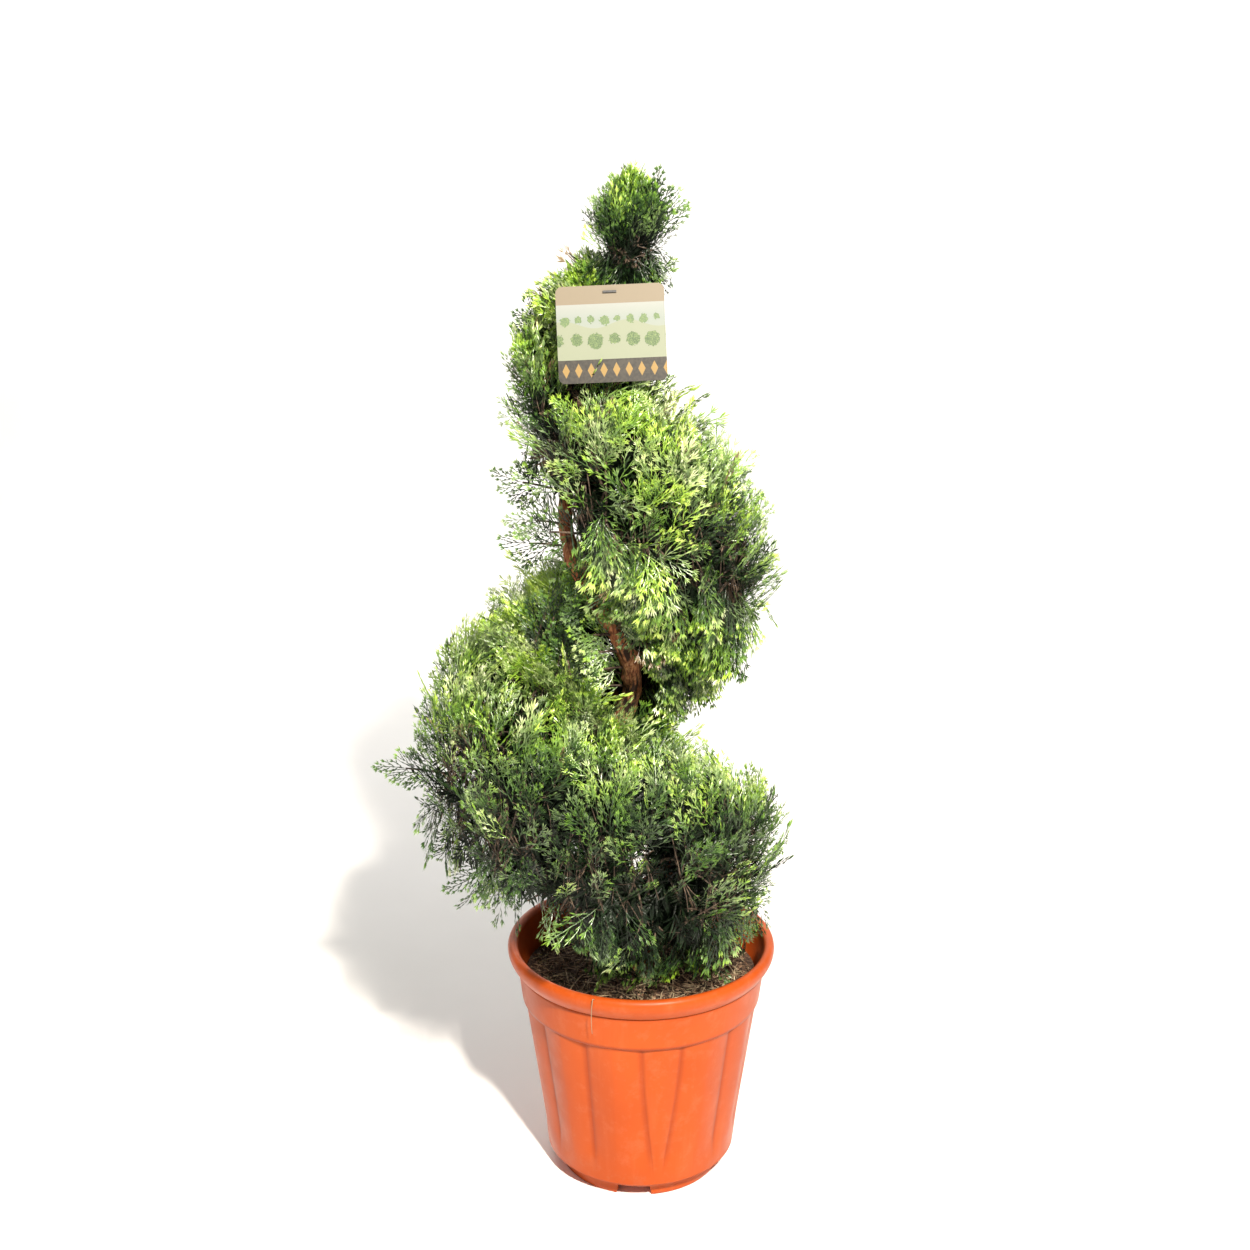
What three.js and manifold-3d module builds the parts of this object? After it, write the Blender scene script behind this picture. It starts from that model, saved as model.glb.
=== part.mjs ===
// Spiral topiary: a clipped white cedar in a terracotta-coloured plastic pot.
// Millimetres, +Z up. The origin is the middle of the pot's flat underside.
// One ribbon of foliage climbs clockwise, seen from above, round a trunk that is itself trained in a
// corkscrew. The ribbon is a row of separate clipped masses, each on its own stem or bough.
import * as THREE from "three";
import { mergeVertices } from "three/addons/utils/BufferGeometryUtils.js";
import Module from "manifold-3d";

const wasm = await Module();
wasm.setup();

// ---------- driving dimensions ----------
const CLEAR = 0.3; // running gap between neighbours that touch
const SEED = 11; // start of the seeded rule that places twigs and sprays

const POT = {
  height: 293,
  rimRadius: 160,
  lipHeight: 24,
  lipWall: 2.4,
  mouthRadius: 147.5,
  bandTop: 148.8,
  bandFoot: 143.4,
  bandFootZ: 222.5,
  wallTop: 142, // outer wall just under the band
  wallFoot: 114.5, // outer wall at the top of the flare over the foot ring
  flareZ: 26,
  footRadius: 98,
  footTop: 12, // top of the upright foot ring
  footWidth: 5,
  floorZ: 8, // underside of the raised floor
  floorThick: 3,
  hubRadius: 40, // flat middle of the floor, which stands on the ground
  wallThick: 3,
  panels: 12, // bowed panels, with valley lines between them
  narrowAngle: 10.5, // degrees from the front to the middle of one more, narrow panel
  narrowHalfTop: 9.75,
  narrowHalfFoot: 1.5,
  fluteDepth: 4.6,
  notches: 4,
  notchAngle: -4.5,
  notchWidth: 40,
  notchHeight: 12.5,
  drainHoles: 8,
  drainRadius: 5,
  drainRing: 72, // how far the holes lie from the middle
};

const SOIL = { top: 256, mound: 5, seatRadius: 26, rings: 3 };

const TRUNK = {
  foot: SOIL.top + CLEAR,
  tip: 1152,
  baseRadius: 15,
  tipRadius: 2.2,
  flare: 6,
  flareFade: 20,
  taperBend: 0.85, // under 1 keeps the trunk stout for longer
  ringBend: 1.12, // over 1 draws its rings down towards the flare
  swing: 38, // radius of the corkscrew
  swingRise: 400, // climb for one turn of the corkscrew
  swingStart: 620, // height at which it stands furthest to the right
  lean: -48, // middle of the corkscrew
  topLean: -18,
};

const RIBBON = {
  first: -0.12, // turns, counted clockwise from the right-hand side (+X)
  last: 1.74,
  masses: 12,
  // the section at each quarter turn, from a quarter before the right-hand side
  radius: [165, 226, 228, 220, 178, 172, 160, 134, 92],
  centre: [376, 402, 454, 532, 634, 742, 854, 955, 1045],
  halfHeight: [28, 126, 168, 162, 144, 146, 138, 106, 42],
  taper: 0.2, // how much lower the section is at its outer edge
  tuckLow: 0.36, // how far its underside draws in towards the trunk, over the pot
  tuckHigh: 0.14, // and higher up
  axisLow: -50,
  axisHigh: -18,
  innerRadius: 18,
  sprayReach: 25, // how far the sprays stand out of the clipped core
};

// the tuft at the top
const CROWN = { x: -13, low: 1060, high: 1190, core: 32, coreLow: 12, coreHigh: 31, spraySize: 0.85 };
const SPRAY = {
  length: 37,
  thick: 1.3,
  root: 12, // how far a blade's root is sunk in the core
  sunk: 14, // how much of a blade near its root isn't held to the mass's space
  opening: 40, // degrees from the middle to the outermost tooth
  notch: 0.62, // how far out the notches between its teeth lie
  twigRadius: 1.5,
};
// boughGap: a mass nearer the trunk than this sits on the trunk itself, with no bough
const STEM = { foot: 5.4, radius: 4.2, tip: 2.6, lap: 3, boughGap: 14 };

const CARD = {
  width: 112,
  height: 100,
  thick: 0.8,
  corner: 7,
  x: -34.5,
  topY: -84,
  topZ: 1079,
  tilt: 17, // degrees that the lower edge stands forward
  roll: 2.6, // degrees that the right side stands higher
  slotWidth: 9,
  slotHeight: 2.4,
  slotDown: 7,
};
const TIE = {
  thick: 1.1,
  radius: 0.9, // of the strap
  barLength: 14,
  ringZ: 1050, // height at which it goes round the trunk
  opening: 0.55, // radians left open each side of the ring's front
  straightRun: 14, // from the ring's front towards the card
};

// ---------- small helpers ----------
const rad = THREE.MathUtils.degToRad;
const clamp01 = (x) => Math.min(1, Math.max(0, x));
const smooth = (low, high, x) => {
  const t = clamp01((x - low) / (high - low));
  return t * t * (3 - 2 * t);
};
const mix = (a, b, t) => a + (b - a) * t;
const vec = (x, y, z) => new THREE.Vector3(x, y, z);

// The seeded rule: a share from 0 to 1 for a mass, a twig in it and a use.
function chance(mass, twig, use) {
  const s = Math.sin((mass + SEED) * 127.1 + twig * 311.7 + use * 74.7) * 43758.5453;
  return s - Math.floor(s);
}
const spread = (mass, twig, use) => 2 * chance(mass, twig, use) - 1;

function solidOf(geometry) {
  const bare = geometry.clone();
  bare.deleteAttribute("normal");
  bare.deleteAttribute("uv");
  const merged = mergeVertices(bare, 1e-3);
  return new wasm.Manifold(
    new wasm.Mesh({
      numProp: 3,
      vertProperties: new Float32Array(merged.attributes.position.array),
      triVerts: new Uint32Array(merged.index.array),
    }),
  );
}

function geometryOf(solid) {
  const mesh = solid.getMesh();
  const geometry = new THREE.BufferGeometry();
  geometry.setAttribute("position", new THREE.BufferAttribute(mesh.vertProperties, 3));
  geometry.setIndex(new THREE.BufferAttribute(mesh.triVerts, 1));
  geometry.computeVertexNormals();
  return geometry;
}

// Only the largest body is kept, so that a scrap cut loose is dropped.
function largest(solid) {
  return solid.decompose().reduce((best, s) => (s.volume() > best.volume() ? s : best));
}

// Moves every vertex of a geometry by a function of its place and its number.
function reshape(geometry, place) {
  const points = geometry.attributes.position;
  const p = vec(0, 0, 0);
  for (let i = 0; i < points.count; i++) {
    p.fromBufferAttribute(points, i);
    const q = place(p, i);
    points.setXYZ(i, q.x, q.y, q.z);
  }
  return geometry;
}

// A closed limb: a cylinder whose rings are laid square to a curve, each with its own radius.
function limb(curve, radiusAt, sides, rings) {
  const side = vec(1, 0, 0);
  if (Math.abs(curve.getTangent(0.5).x) > 0.8) side.set(0, 1, 0);
  return reshape(new THREE.CylinderGeometry(1, 1, 1, sides, rings), (p) => {
    const t = clamp01(p.y + 0.5);
    const along = curve.getTangent(t);
    const across = side.clone().addScaledVector(along, -side.dot(along)).normalize();
    const third = along.clone().cross(across);
    const r = radiusAt(t);
    return curve
      .getPoint(t)
      .addScaledVector(across, r * p.z)
      .addScaledVector(third, r * p.x);
  });
}

// A curve in three.js terms from a plain function of 0 to 1.
class Route extends THREE.Curve {
  constructor(at) {
    super();
    this.at = at;
  }
  getPoint(t) {
    return this.at(t);
  }
}

// ---------- pot ----------
function potRadius(z) {
  return mix(POT.wallFoot, POT.wallTop, (z - POT.flareZ) / (POT.bandFootZ - POT.flareZ));
}

const innerRadius = (z) => potRadius(z) - POT.fluteDepth - POT.wallThick;

// Half the angle of the narrow panel, which closes towards the foot.
function narrowHalf(z) {
  const share = clamp01((z - POT.flareZ) / (POT.bandFootZ - POT.flareZ));
  return mix(POT.narrowHalfFoot, POT.narrowHalfTop, Math.sin((share * Math.PI) / 2));
}

// Where the lathe's line of a given number stands, in degrees from the front: the narrow panel's edge,
// middle and edge, then a crest and a valley for each bowed panel.
function lineAngle(line, half) {
  if (line < 3) return POT.narrowAngle + (line - 1) * half;
  const width = (360 - 2 * POT.narrowHalfTop) / POT.panels;
  return POT.narrowAngle + POT.narrowHalfTop + ((line - 2) * width) / 2;
}

// How deep the wall lies under its crests along such a line, from 0 to 1.
function flute(line, z) {
  const depth = line === 1 ? 0.5 : 1 - (line % 2);
  return depth * smooth(POT.flareZ + 4, POT.flareZ + 50, z);
}

// A lathe with its lines on the panels' edges and middles. A point of the outline that is marked as
// wall is pressed in along the valley lines, and its height goes through a function of its place.
function panelLathe(outline, heightAt = (x, y, z) => z) {
  const lines = 2 * (POT.panels + 1);
  const lathe = new THREE.LatheGeometry(
    outline.map(([r, z]) => new THREE.Vector2(r, z)),
    lines,
  );
  reshape(lathe, (q, index) => {
    const line = Math.floor(index / outline.length) % lines;
    const [radius, z, wall] = outline[index % outline.length];
    const r = wall ? radius - POT.fluteDepth * flute(line, z) : radius;
    const angle = rad(lineAngle(line, wall ? narrowHalf(z) : POT.narrowHalfTop));
    const x = r * Math.sin(angle);
    const y = -r * Math.cos(angle);
    return vec(x, y, heightAt(x, y, z));
  });
  return lathe;
}

function pot() {
  const p = POT;
  const lipZ = p.height - p.lipHeight;
  const hollow = p.bandTop + 2.2;
  const rows = 4; // rings up the fluted wall
  const outline = [
    [0, 0],
    [p.hubRadius, 0],
    [p.hubRadius + 4, p.floorZ],
    [p.footRadius - p.footWidth - 2, p.floorZ],
    [p.footRadius - p.footWidth, 0],
    [p.footRadius, 0, true],
    [p.footRadius + 1, p.footTop, true],
  ];
  for (let i = 0; i <= rows; i++) {
    const z = mix(p.flareZ, p.bandFootZ, (i / rows) ** 1.3);
    outline.push([potRadius(z), z, true]);
  }
  outline.push(
    [p.bandFoot, p.bandFootZ],
    [p.bandTop, lipZ],
    [hollow, p.height - 9],
    [p.rimRadius - p.lipWall, p.height - 9],
    [p.rimRadius - p.lipWall, lipZ],
    [p.rimRadius, lipZ],
    [p.rimRadius, p.height - 8],
    [p.rimRadius - 2.6, p.height - 2.2],
    [p.rimRadius - 6.5, p.height],
    [p.mouthRadius + 2, p.height - 1.8],
    [p.mouthRadius, p.height - 6],
    [p.bandFoot - 3.2, p.bandFootZ + 3],
    [innerRadius(p.bandFootZ - 4), p.bandFootZ - 4],
    [innerRadius(p.flareZ), p.flareZ],
    [p.footRadius - 4, p.floorZ + p.floorThick],
    [p.hubRadius + 2, p.floorZ + p.floorThick],
    [p.hubRadius - 2, p.floorThick],
    [0, p.floorThick],
  );
  let body = solidOf(panelLathe(outline));
  if (body.volume() < 0) throw new Error("the pot's outline runs the wrong way");
  const cuts = [];
  for (let i = 0; i < p.notches; i++) {
    const g = new THREE.BoxGeometry(p.notchWidth, 40, 2 * p.notchHeight);
    g.translate(0, -(p.footRadius + 9), 0);
    g.rotateZ(rad(p.notchAngle + (i * 360) / p.notches));
    cuts.push(solidOf(g));
  }
  for (let i = 0; i < p.drainHoles; i++) {
    const g = new THREE.CylinderGeometry(p.drainRadius, p.drainRadius, 3 * p.floorZ, 8);
    g.rotateX(Math.PI / 2);
    g.translate(0, -p.drainRing, p.floorZ);
    g.rotateZ(rad(((i + 0.5) * 360) / p.drainHoles));
    cuts.push(solidOf(g));
  }
  body = body.subtract(wasm.Manifold.union(cuts));
  return geometryOf(largest(body));
}

// ---------- soil ----------
function soilHeight(r) {
  return SOIL.top - SOIL.mound * smooth(SOIL.seatRadius, innerRadius(POT.bandFootZ), r);
}

function soil() {
  const wall = (z) => innerRadius(Math.min(z, POT.bandFootZ - 4)) - CLEAR;
  const rim = wall(SOIL.top) + 1;
  const outline = [
    [0, POT.floorThick + CLEAR],
    [POT.hubRadius - 2.6, POT.floorThick + CLEAR],
    [POT.hubRadius + 1.4, POT.floorZ + POT.floorThick + CLEAR],
    [POT.footRadius - 4 - CLEAR, POT.floorZ + POT.floorThick + CLEAR],
    [innerRadius(POT.flareZ) - 2 * CLEAR, POT.flareZ + CLEAR],
    [wall(POT.bandFootZ - 6), POT.bandFootZ - 6],
    [rim, soilHeight(rim) - 1],
  ];
  for (let i = 1; i <= SOIL.rings; i++) {
    const r = mix(rim, SOIL.seatRadius, i / SOIL.rings);
    outline.push([r, soilHeight(r)]);
  }
  outline.push([0, SOIL.top]);
  const lumpy = (x, y, z) => {
    const r = Math.hypot(x, y);
    const open = r > SOIL.seatRadius + 1 && r < rim - 1 && z > SOIL.top - SOIL.mound - 2;
    return open ? z + 2.2 * Math.sin(x * 0.09 + 1) * Math.cos(y * 0.11) : z;
  };
  return geometryOf(solidOf(panelLathe(outline, lumpy)));
}

// ---------- trunk ----------
function trunkPoint(z) {
  const t = TRUNK;
  const turn = ((z - t.swingStart) / t.swingRise) * 2 * Math.PI;
  const swing = t.swing * smooth(t.foot, 560, z) * (1 - 0.85 * smooth(900, 1090, z));
  const middle = mix(t.lean * smooth(t.foot, 600, z), t.topLean, smooth(860, 1060, z));
  return vec(middle + swing * Math.cos(turn), -swing * Math.sin(turn), z);
}

function trunkRadius(z) {
  const t = TRUNK;
  const left = 1 - (z - t.foot) / (t.tip - t.foot);
  const flare = t.flare * Math.exp(-(z - t.foot) / t.flareFade);
  return mix(t.tipRadius, t.baseRadius, clamp01(left) ** t.taperBend) + flare;
}

// The trunk, or the same shape made fatter, to cut its neighbours clear of it.
function trunk(extra = 0) {
  const { foot, tip, ringBend } = TRUNK;
  const route = new Route((t) => trunkPoint(mix(foot - extra, tip + extra, t ** ringBend)));
  return limb(route, (t) => trunkRadius(mix(foot, tip, t ** ringBend)) + extra, 8, 28);
}

// How far a point stands off the trunk's bark.
function trunkGap(p) {
  let best = 1e9;
  for (let z = Math.max(TRUNK.foot, p.z - 45); z <= Math.min(TRUNK.tip, p.z + 45); z += 5) {
    best = Math.min(best, trunkPoint(z).distanceTo(p) - trunkRadius(z));
  }
  return best;
}

// ---------- the ribbon's course ----------
const axisX = (z) => mix(RIBBON.axisLow, RIBBON.axisHigh, smooth(550, 740, z));
// A size read from its quarter-turn list along a smooth curve through the values.
function sized(list, turn) {
  const at = Math.min(list.length - 1.001, Math.max(0, (turn + 0.25) * 4));
  const k = Math.floor(at);
  const t = at - k;
  const value = (j) => list[Math.min(list.length - 1, Math.max(0, j))];
  const [a, b, c, d] = [value(k - 1), value(k), value(k + 1), value(k + 2)];
  return b + (t / 2) * (c - a + t * (2 * a - 5 * b + 4 * c - d + t * (3 * (b - c) + d - a)));
}
const centreZ = (turn) => sized(RIBBON.centre, turn);
const outerRadius = (turn) => sized(RIBBON.radius, turn);
const halfHeight = (turn) => sized(RIBBON.halfHeight, turn);
const tuck = (turn) => mix(RIBBON.tuckLow, RIBBON.tuckHigh, smooth(0.5, 0.85, turn));
const azimuth = (turn) => -2 * Math.PI * turn;

// A point of the ribbon's squared-off oval section, by its angle and its share of the way out.
const squared = (x) => Math.sign(x) * Math.abs(x) ** 0.78;
const sectionPoint = (turn, angle, share = 1) =>
  ribbonPoint(turn, share * squared(Math.cos(angle)), share * squared(Math.sin(angle)));

// A point of the ribbon: out along the radius and up, both from the section's middle.
function ribbonPoint(turn, out, up) {
  const z = centreZ(turn);
  const coreOut = (outerRadius(turn) - RIBBON.sprayReach - RIBBON.innerRadius) / 2;
  const r = RIBBON.innerRadius + coreOut * (1 + out) * (1 - tuck(turn) * Math.max(0, -up) ** 2);
  const h = (halfHeight(turn) - RIBBON.sprayReach * 0.85) * up * (1 - RIBBON.taper * out);
  const a = azimuth(turn);
  return vec(axisX(z) + r * Math.cos(a), r * Math.sin(a), z + h);
}

// The height halfway across the groove between one turn and the next.
function grooveZ(turn) {
  const below = centreZ(turn) + halfHeight(turn);
  const above = centreZ(turn + 1) - halfHeight(turn + 1);
  return (below + above) / 2;
}

// ---------- sprays ----------
// A toothed blade: a flat fan of pointed branchlets that lies in the plane of along and across.
function sprayBlade(at, along, roll, length, teeth) {
  const shape = new THREE.Shape();
  const lineTo = (r, degrees) => shape.lineTo(r * Math.cos(rad(degrees)), r * Math.sin(rad(degrees)));
  shape.moveTo(-SPRAY.root, 0);
  for (let i = 0; i < teeth; i++) {
    const share = (2 * i) / (teeth - 1) - 1;
    lineTo(length * (1 - 0.22 * share * share), SPRAY.opening * share);
    const between = (2 * i + 1) / (teeth - 1) - 1;
    if (i < teeth - 1) lineTo(length * SPRAY.notch, SPRAY.opening * 0.8 * between);
  }
  shape.closePath();
  const g = new THREE.ExtrudeGeometry(shape, { depth: SPRAY.thick, bevelEnabled: false });
  g.translate(0, 0, -SPRAY.thick / 2);
  return g.applyMatrix4(frameAt(at, along, roll));
}

function frameAt(at, along, roll) {
  const x = along.clone().normalize();
  const up = Math.abs(x.z) > 0.9 ? vec(1, 0, 0) : vec(0, 0, 1);
  const y = up.clone().cross(x).normalize();
  const z = x.clone().cross(y);
  const turned = y.clone().multiplyScalar(Math.cos(roll)).addScaledVector(z, Math.sin(roll));
  const normal = x.clone().cross(turned);
  return new THREE.Matrix4().makeBasis(x, turned, normal).setPosition(at);
}

// A three-sided twig from inside the core to its spray.
function twig(from, to) {
  const route = new Route((t) => from.clone().lerp(to, t));
  return limb(route, (t) => mix(SPRAY.twigRadius * 1.5, SPRAY.twigRadius, t), 3, 1);
}

function cornersOf(geometry) {
  const points = geometry.attributes.position;
  const list = [];
  for (let i = 0; i < points.count; i++) list.push(vec(0, 0, 0).fromBufferAttribute(points, i));
  return list;
}

// Corners and the middles between them and the root, which is close enough for a flat blade.
function samplesOf(geometry, root) {
  const corners = cornersOf(geometry);
  return corners.concat(corners.map((c) => c.clone().lerp(root, 0.5)));
}

// ---------- card and tie ----------
const cardFrame = new THREE.Matrix4()
  .makeTranslation(CARD.x, CARD.topY, CARD.topZ)
  .multiply(new THREE.Matrix4().makeRotationX(rad(-CARD.tilt)))
  .multiply(new THREE.Matrix4().makeRotationY(rad(-CARD.roll)));
const cardInverse = cardFrame.clone().invert();

// The card hangs down from its frame's origin, which is the middle of the top edge. Its face is -Y.
function card() {
  const { width: w, height: h, corner: c } = CARD;
  const shape = new THREE.Shape();
  shape.moveTo(-w / 2 + c, -h);
  shape.lineTo(w / 2 - c, -h);
  shape.absarc(w / 2 - c, -h + c, c, -Math.PI / 2, 0, false);
  shape.absarc(w / 2 - c, -c, c, 0, Math.PI / 2, false);
  shape.absarc(-w / 2 + c, -c, c, Math.PI / 2, Math.PI, false);
  shape.absarc(-w / 2 + c, -h + c, c, Math.PI, 1.5 * Math.PI, false);
  const slot = new THREE.Path();
  const [sw, sh, sz] = [CARD.slotWidth / 2, CARD.slotHeight / 2, -CARD.slotDown];
  slot.moveTo(-sw, sz - sh);
  slot.lineTo(-sw, sz + sh);
  slot.lineTo(sw, sz + sh);
  slot.lineTo(sw, sz - sh);
  slot.closePath();
  shape.holes.push(slot);
  const g = new THREE.ExtrudeGeometry(shape, {
    depth: CARD.thick,
    bevelEnabled: false,
    curveSegments: 4,
  });
  g.translate(0, 0, -CARD.thick / 2);
  g.rotateX(Math.PI / 2);
  return geometryOf(solidOf(g.applyMatrix4(cardFrame)));
}

// A strap with a bar in front of the card; it runs back through the slot and round the trunk.
function tie() {
  const slotAt = vec(0, 0, -CARD.slotDown).applyMatrix4(cardFrame);
  const forward = vec(0, -1, 0).transformDirection(cardFrame);
  const front = slotAt.clone().addScaledVector(forward, 2.2);
  const behind = slotAt.clone().addScaledVector(forward, -8);
  const trunkAt = trunkPoint(TIE.ringZ);
  const ring = trunkRadius(TIE.ringZ) + CLEAR + TIE.thick / 2 + 0.5;
  const points = [front, slotAt, behind];
  const strapEnd = trunkAt.clone().add(vec(0, -ring - TIE.straightRun, 2));
  points.push(behind.clone().lerp(strapEnd, 0.6).add(vec(0, 0, -3)), strapEnd);
  const around = 7;
  for (let i = 0; i <= around; i++) {
    const a = -Math.PI / 2 + mix(TIE.opening, 2 * Math.PI - TIE.opening, i / around);
    points.push(trunkAt.clone().add(vec(ring * Math.cos(a), ring * Math.sin(a), (i - 3) * 0.4)));
  }
  const route = new THREE.CatmullRomCurve3(points, false, "centripetal");
  const strap = limb(route, () => TIE.radius, 5, 26);
  const bar = new THREE.BoxGeometry(TIE.barLength, TIE.thick * 1.4, TIE.thick * 2);
  bar.translate(0, -1.7, -CARD.slotDown);
  bar.applyMatrix4(cardFrame);
  return geometryOf(largest(solidOf(strap).add(solidOf(bar))));
}

// How far a point stands off the card and its tie.
function cardGap(p) {
  const q = p.clone().applyMatrix4(cardInverse);
  const dx = Math.max(0, Math.abs(q.x) - CARD.width / 2);
  const dz = Math.max(0, q.z, -CARD.height - q.z);
  const sheet = Math.hypot(dx, Math.abs(q.y), dz);
  const dy = Math.max(0, p.y, CARD.topY - p.y);
  const strap = Math.hypot(p.x - trunkPoint(TIE.ringZ).x + 2, dy, p.z - CARD.topZ + 3);
  return Math.min(sheet, strap);
}

// ---------- masses ----------
const step = (RIBBON.last - RIBBON.first) / RIBBON.masses;
const massEnds = (i) => [RIBBON.first + i * step, RIBBON.first + (i + 1) * step];

// Distance inside the two upright planes that end a mass, and inside the grooves over and under it.
function roomInMass(i, p) {
  const [from, to] = massEnds(i);
  const side = (turn, sign) => {
    const a = azimuth(turn);
    const dx = p.x - axisX(centreZ(turn));
    return sign * (-Math.sin(a) * dx + Math.cos(a) * p.y);
  };
  const ends = Math.min(side(from, -1), side(to, 1));
  const middle = (from + to) / 2;
  const dx = p.x - axisX(centreZ(middle));
  const off = Math.atan2(p.y, dx) - azimuth(middle);
  const turn = middle - Math.atan2(Math.sin(off), Math.cos(off)) / (2 * Math.PI);
  const above = grooveZ(turn) - 10 - p.z;
  const below = turn < 0.75 ? 1e9 : p.z - grooveZ(turn - 1) - 10;
  const crown = turn > 1.2 ? CROWN.low - 3 - p.z : 1e9;
  return Math.min(ends, above, below, crown);
}

// Clear of the pot's rim and soil.
function roomOverPot(p) {
  const r = Math.hypot(p.x, p.y);
  if (p.z > POT.height + 3 || r > POT.rimRadius + 4) return p.z - 60;
  return r < POT.mouthRadius - 5 ? p.z - SOIL.top - 6 : -1;
}

const fits = (i, p, room) =>
  room(i, p) > 1 && roomOverPot(p) > 0 && trunkGap(p) > 2 && cardGap(p) > 4;

// The clipped heart of a mass: a run of the ribbon's section, a little lumpy.
function ribbonCore(i) {
  const [from, to] = massEnds(i);
  const gap = 0.0026;
  const sides = 10;
  const rings = 3;
  return reshape(new THREE.CylinderGeometry(1, 1, 1, sides, rings), (p) => {
    const t = clamp01(p.y + 0.5);
    const turn = mix(from + gap, to - gap, t);
    const angle = Math.atan2(p.x, p.z);
    const edge = Math.hypot(p.x, p.z);
    const at = ((Math.round((angle / (2 * Math.PI)) * sides) % sides) + sides) % sides;
    const lump = 1 + 0.05 * spread(i, at, 40 + Math.round(t * rings));
    return sectionPoint(turn, angle, edge * lump);
  });
}

// One spray, if it keeps to the mass's space; the list takes its solid.
function growSpray(parts, i, room, root, along, length, roll, teeth) {
  const blade = sprayBlade(root, along, roll, length, teeth);
  const held = samplesOf(blade, root).filter((p) => p.distanceTo(root) > SPRAY.sunk);
  if (!held.every((p) => fits(i, p, room))) return false;
  parts.push(solidOf(blade));
  return true;
}

// Sprays over a core's surface in rows, each moved a little by the seeded rule.
function coverMass(parts, i, room, rows, columns, size, surface) {
  let number = 0;
  for (let r = 0; r < rows; r++) {
    for (let c = 0; c < columns; c++) {
      number++;
      const u = (c + 0.5 + 0.34 * spread(i, number, 1) + 0.25 * (r % 2 ? 1 : -1)) / columns;
      const v = (r + 0.5 + 0.34 * spread(i, number, 2)) / rows;
      const { root, out } = surface(clamp01(u), v);
      for (let attempt = 0; attempt < 4; attempt++) {
        const use = 3 + attempt * 5;
        const sway = [use, use + 1, use + 2].map((k) => 0.28 * spread(i, number, k));
        const along = out.clone().add(vec(...sway));
        const length = size * (0.8 + 0.35 * chance(i, number, use + 3)) * (1 - 0.14 * attempt);
        const roll = Math.PI * chance(i, number, use + 4);
        if (growSpray(parts, i, room, root, along.normalize(), length, roll, 3)) break;
      }
    }
  }
}

// Shoots that the shears have missed: the mass, where on its section they root, and how they point.
const SHOOTS = [
  { mass: 3, turn: 0.497, angle: -8, along: [-1, 0.05, 0.12], reach: 34 },
  { mass: 3, turn: 0.44, angle: -52, along: [-0.86, -0.1, -0.5], reach: 26 },
  { mass: 3, turn: 0.47, angle: -38, along: [-0.75, 0.1, -0.66], reach: 22 },
  { mass: 3, turn: 0.48, angle: -72, along: [-0.45, 0.1, -0.9], reach: 40 },
  { mass: 4, turn: 0.53, angle: -82, along: [-0.22, 0.25, -0.95], reach: 74 },
  { mass: 0, turn: -0.06, angle: -28, along: [0.95, 0.1, 0.04], reach: 24 },
  { mass: 9, turn: 1.36, angle: -66, along: [-0.95, -0.1, 0.1], reach: 26 },
  { mass: 10, turn: 1.5, angle: 60, along: [-0.5, 0.1, 0.85], reach: 8 },
];

function growShoots(parts, i) {
  SHOOTS.filter((s) => s.mass === i).forEach((s, n) => {
    const a = rad(s.angle);
    const root = sectionPoint(s.turn, a);
    const along = vec(...s.along).normalize();
    const end = root.clone().addScaledVector(along, s.reach);
    parts.push(solidOf(twig(root.clone().addScaledVector(along, -18), end)));
    parts.push(solidOf(sprayBlade(end, along, 0.4 + n, SPRAY.length * 0.85, 5)));
  });
}

// The way from the trunk to a mass: where it leaves, and where it goes in.
function wayIn(i) {
  const middle = (massEnds(i)[0] + massEnds(i)[1]) / 2;
  const heart = ribbonPoint(middle, 0, -0.1);
  const z = heart.z - 0.35 * halfHeight(middle);
  const from = trunkPoint(Math.max(TRUNK.foot + 30, z));
  const along = heart.clone().sub(from);
  const length = along.length();
  along.normalize();
  let enter = 0;
  for (let s = 0; s < length; s += 1) {
    const p = from.clone().addScaledVector(along, s);
    const dx = p.x - axisX(centreZ(middle));
    const coreOut = (outerRadius(middle) - RIBBON.sprayReach - RIBBON.innerRadius) / 2;
    const up = (p.z - centreZ(middle)) / (halfHeight(middle) - RIBBON.sprayReach * 0.85);
    const tucked = coreOut * (1 - tuck(middle) * Math.max(0, -up) ** 2);
    const out = (Math.hypot(dx, p.y) - RIBBON.innerRadius) / tucked - 1;
    enter = s;
    if (out * out + up * up < 0.98 && roomInMass(i, p) > 1) break;
  }
  const leave = trunkRadius(from.z) + CLEAR;
  return { from, along, heart, leave, enter, bare: enter - leave };
}

const straight = (a, b) => new Route((t) => a.clone().lerp(b, t));
const fatTrunk = (extra) => solidOf(trunk(extra));
const trunkNear = fatTrunk(CLEAR);
const trunkWide = fatTrunk(3);

// A bough's solid, or null where the mass lies close enough to sit on the trunk itself.
function bough(i) {
  const w = wayIn(i);
  if (w.bare < STEM.boughGap) return null;
  const start = w.from.clone();
  const end = w.from.clone().addScaledVector(w.along, w.enter - STEM.lap);
  const way = limb(straight(start, end), (t) => mix(STEM.foot, STEM.radius, t), 7, 3);
  return largest(solidOf(way).subtract(trunkNear));
}

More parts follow.
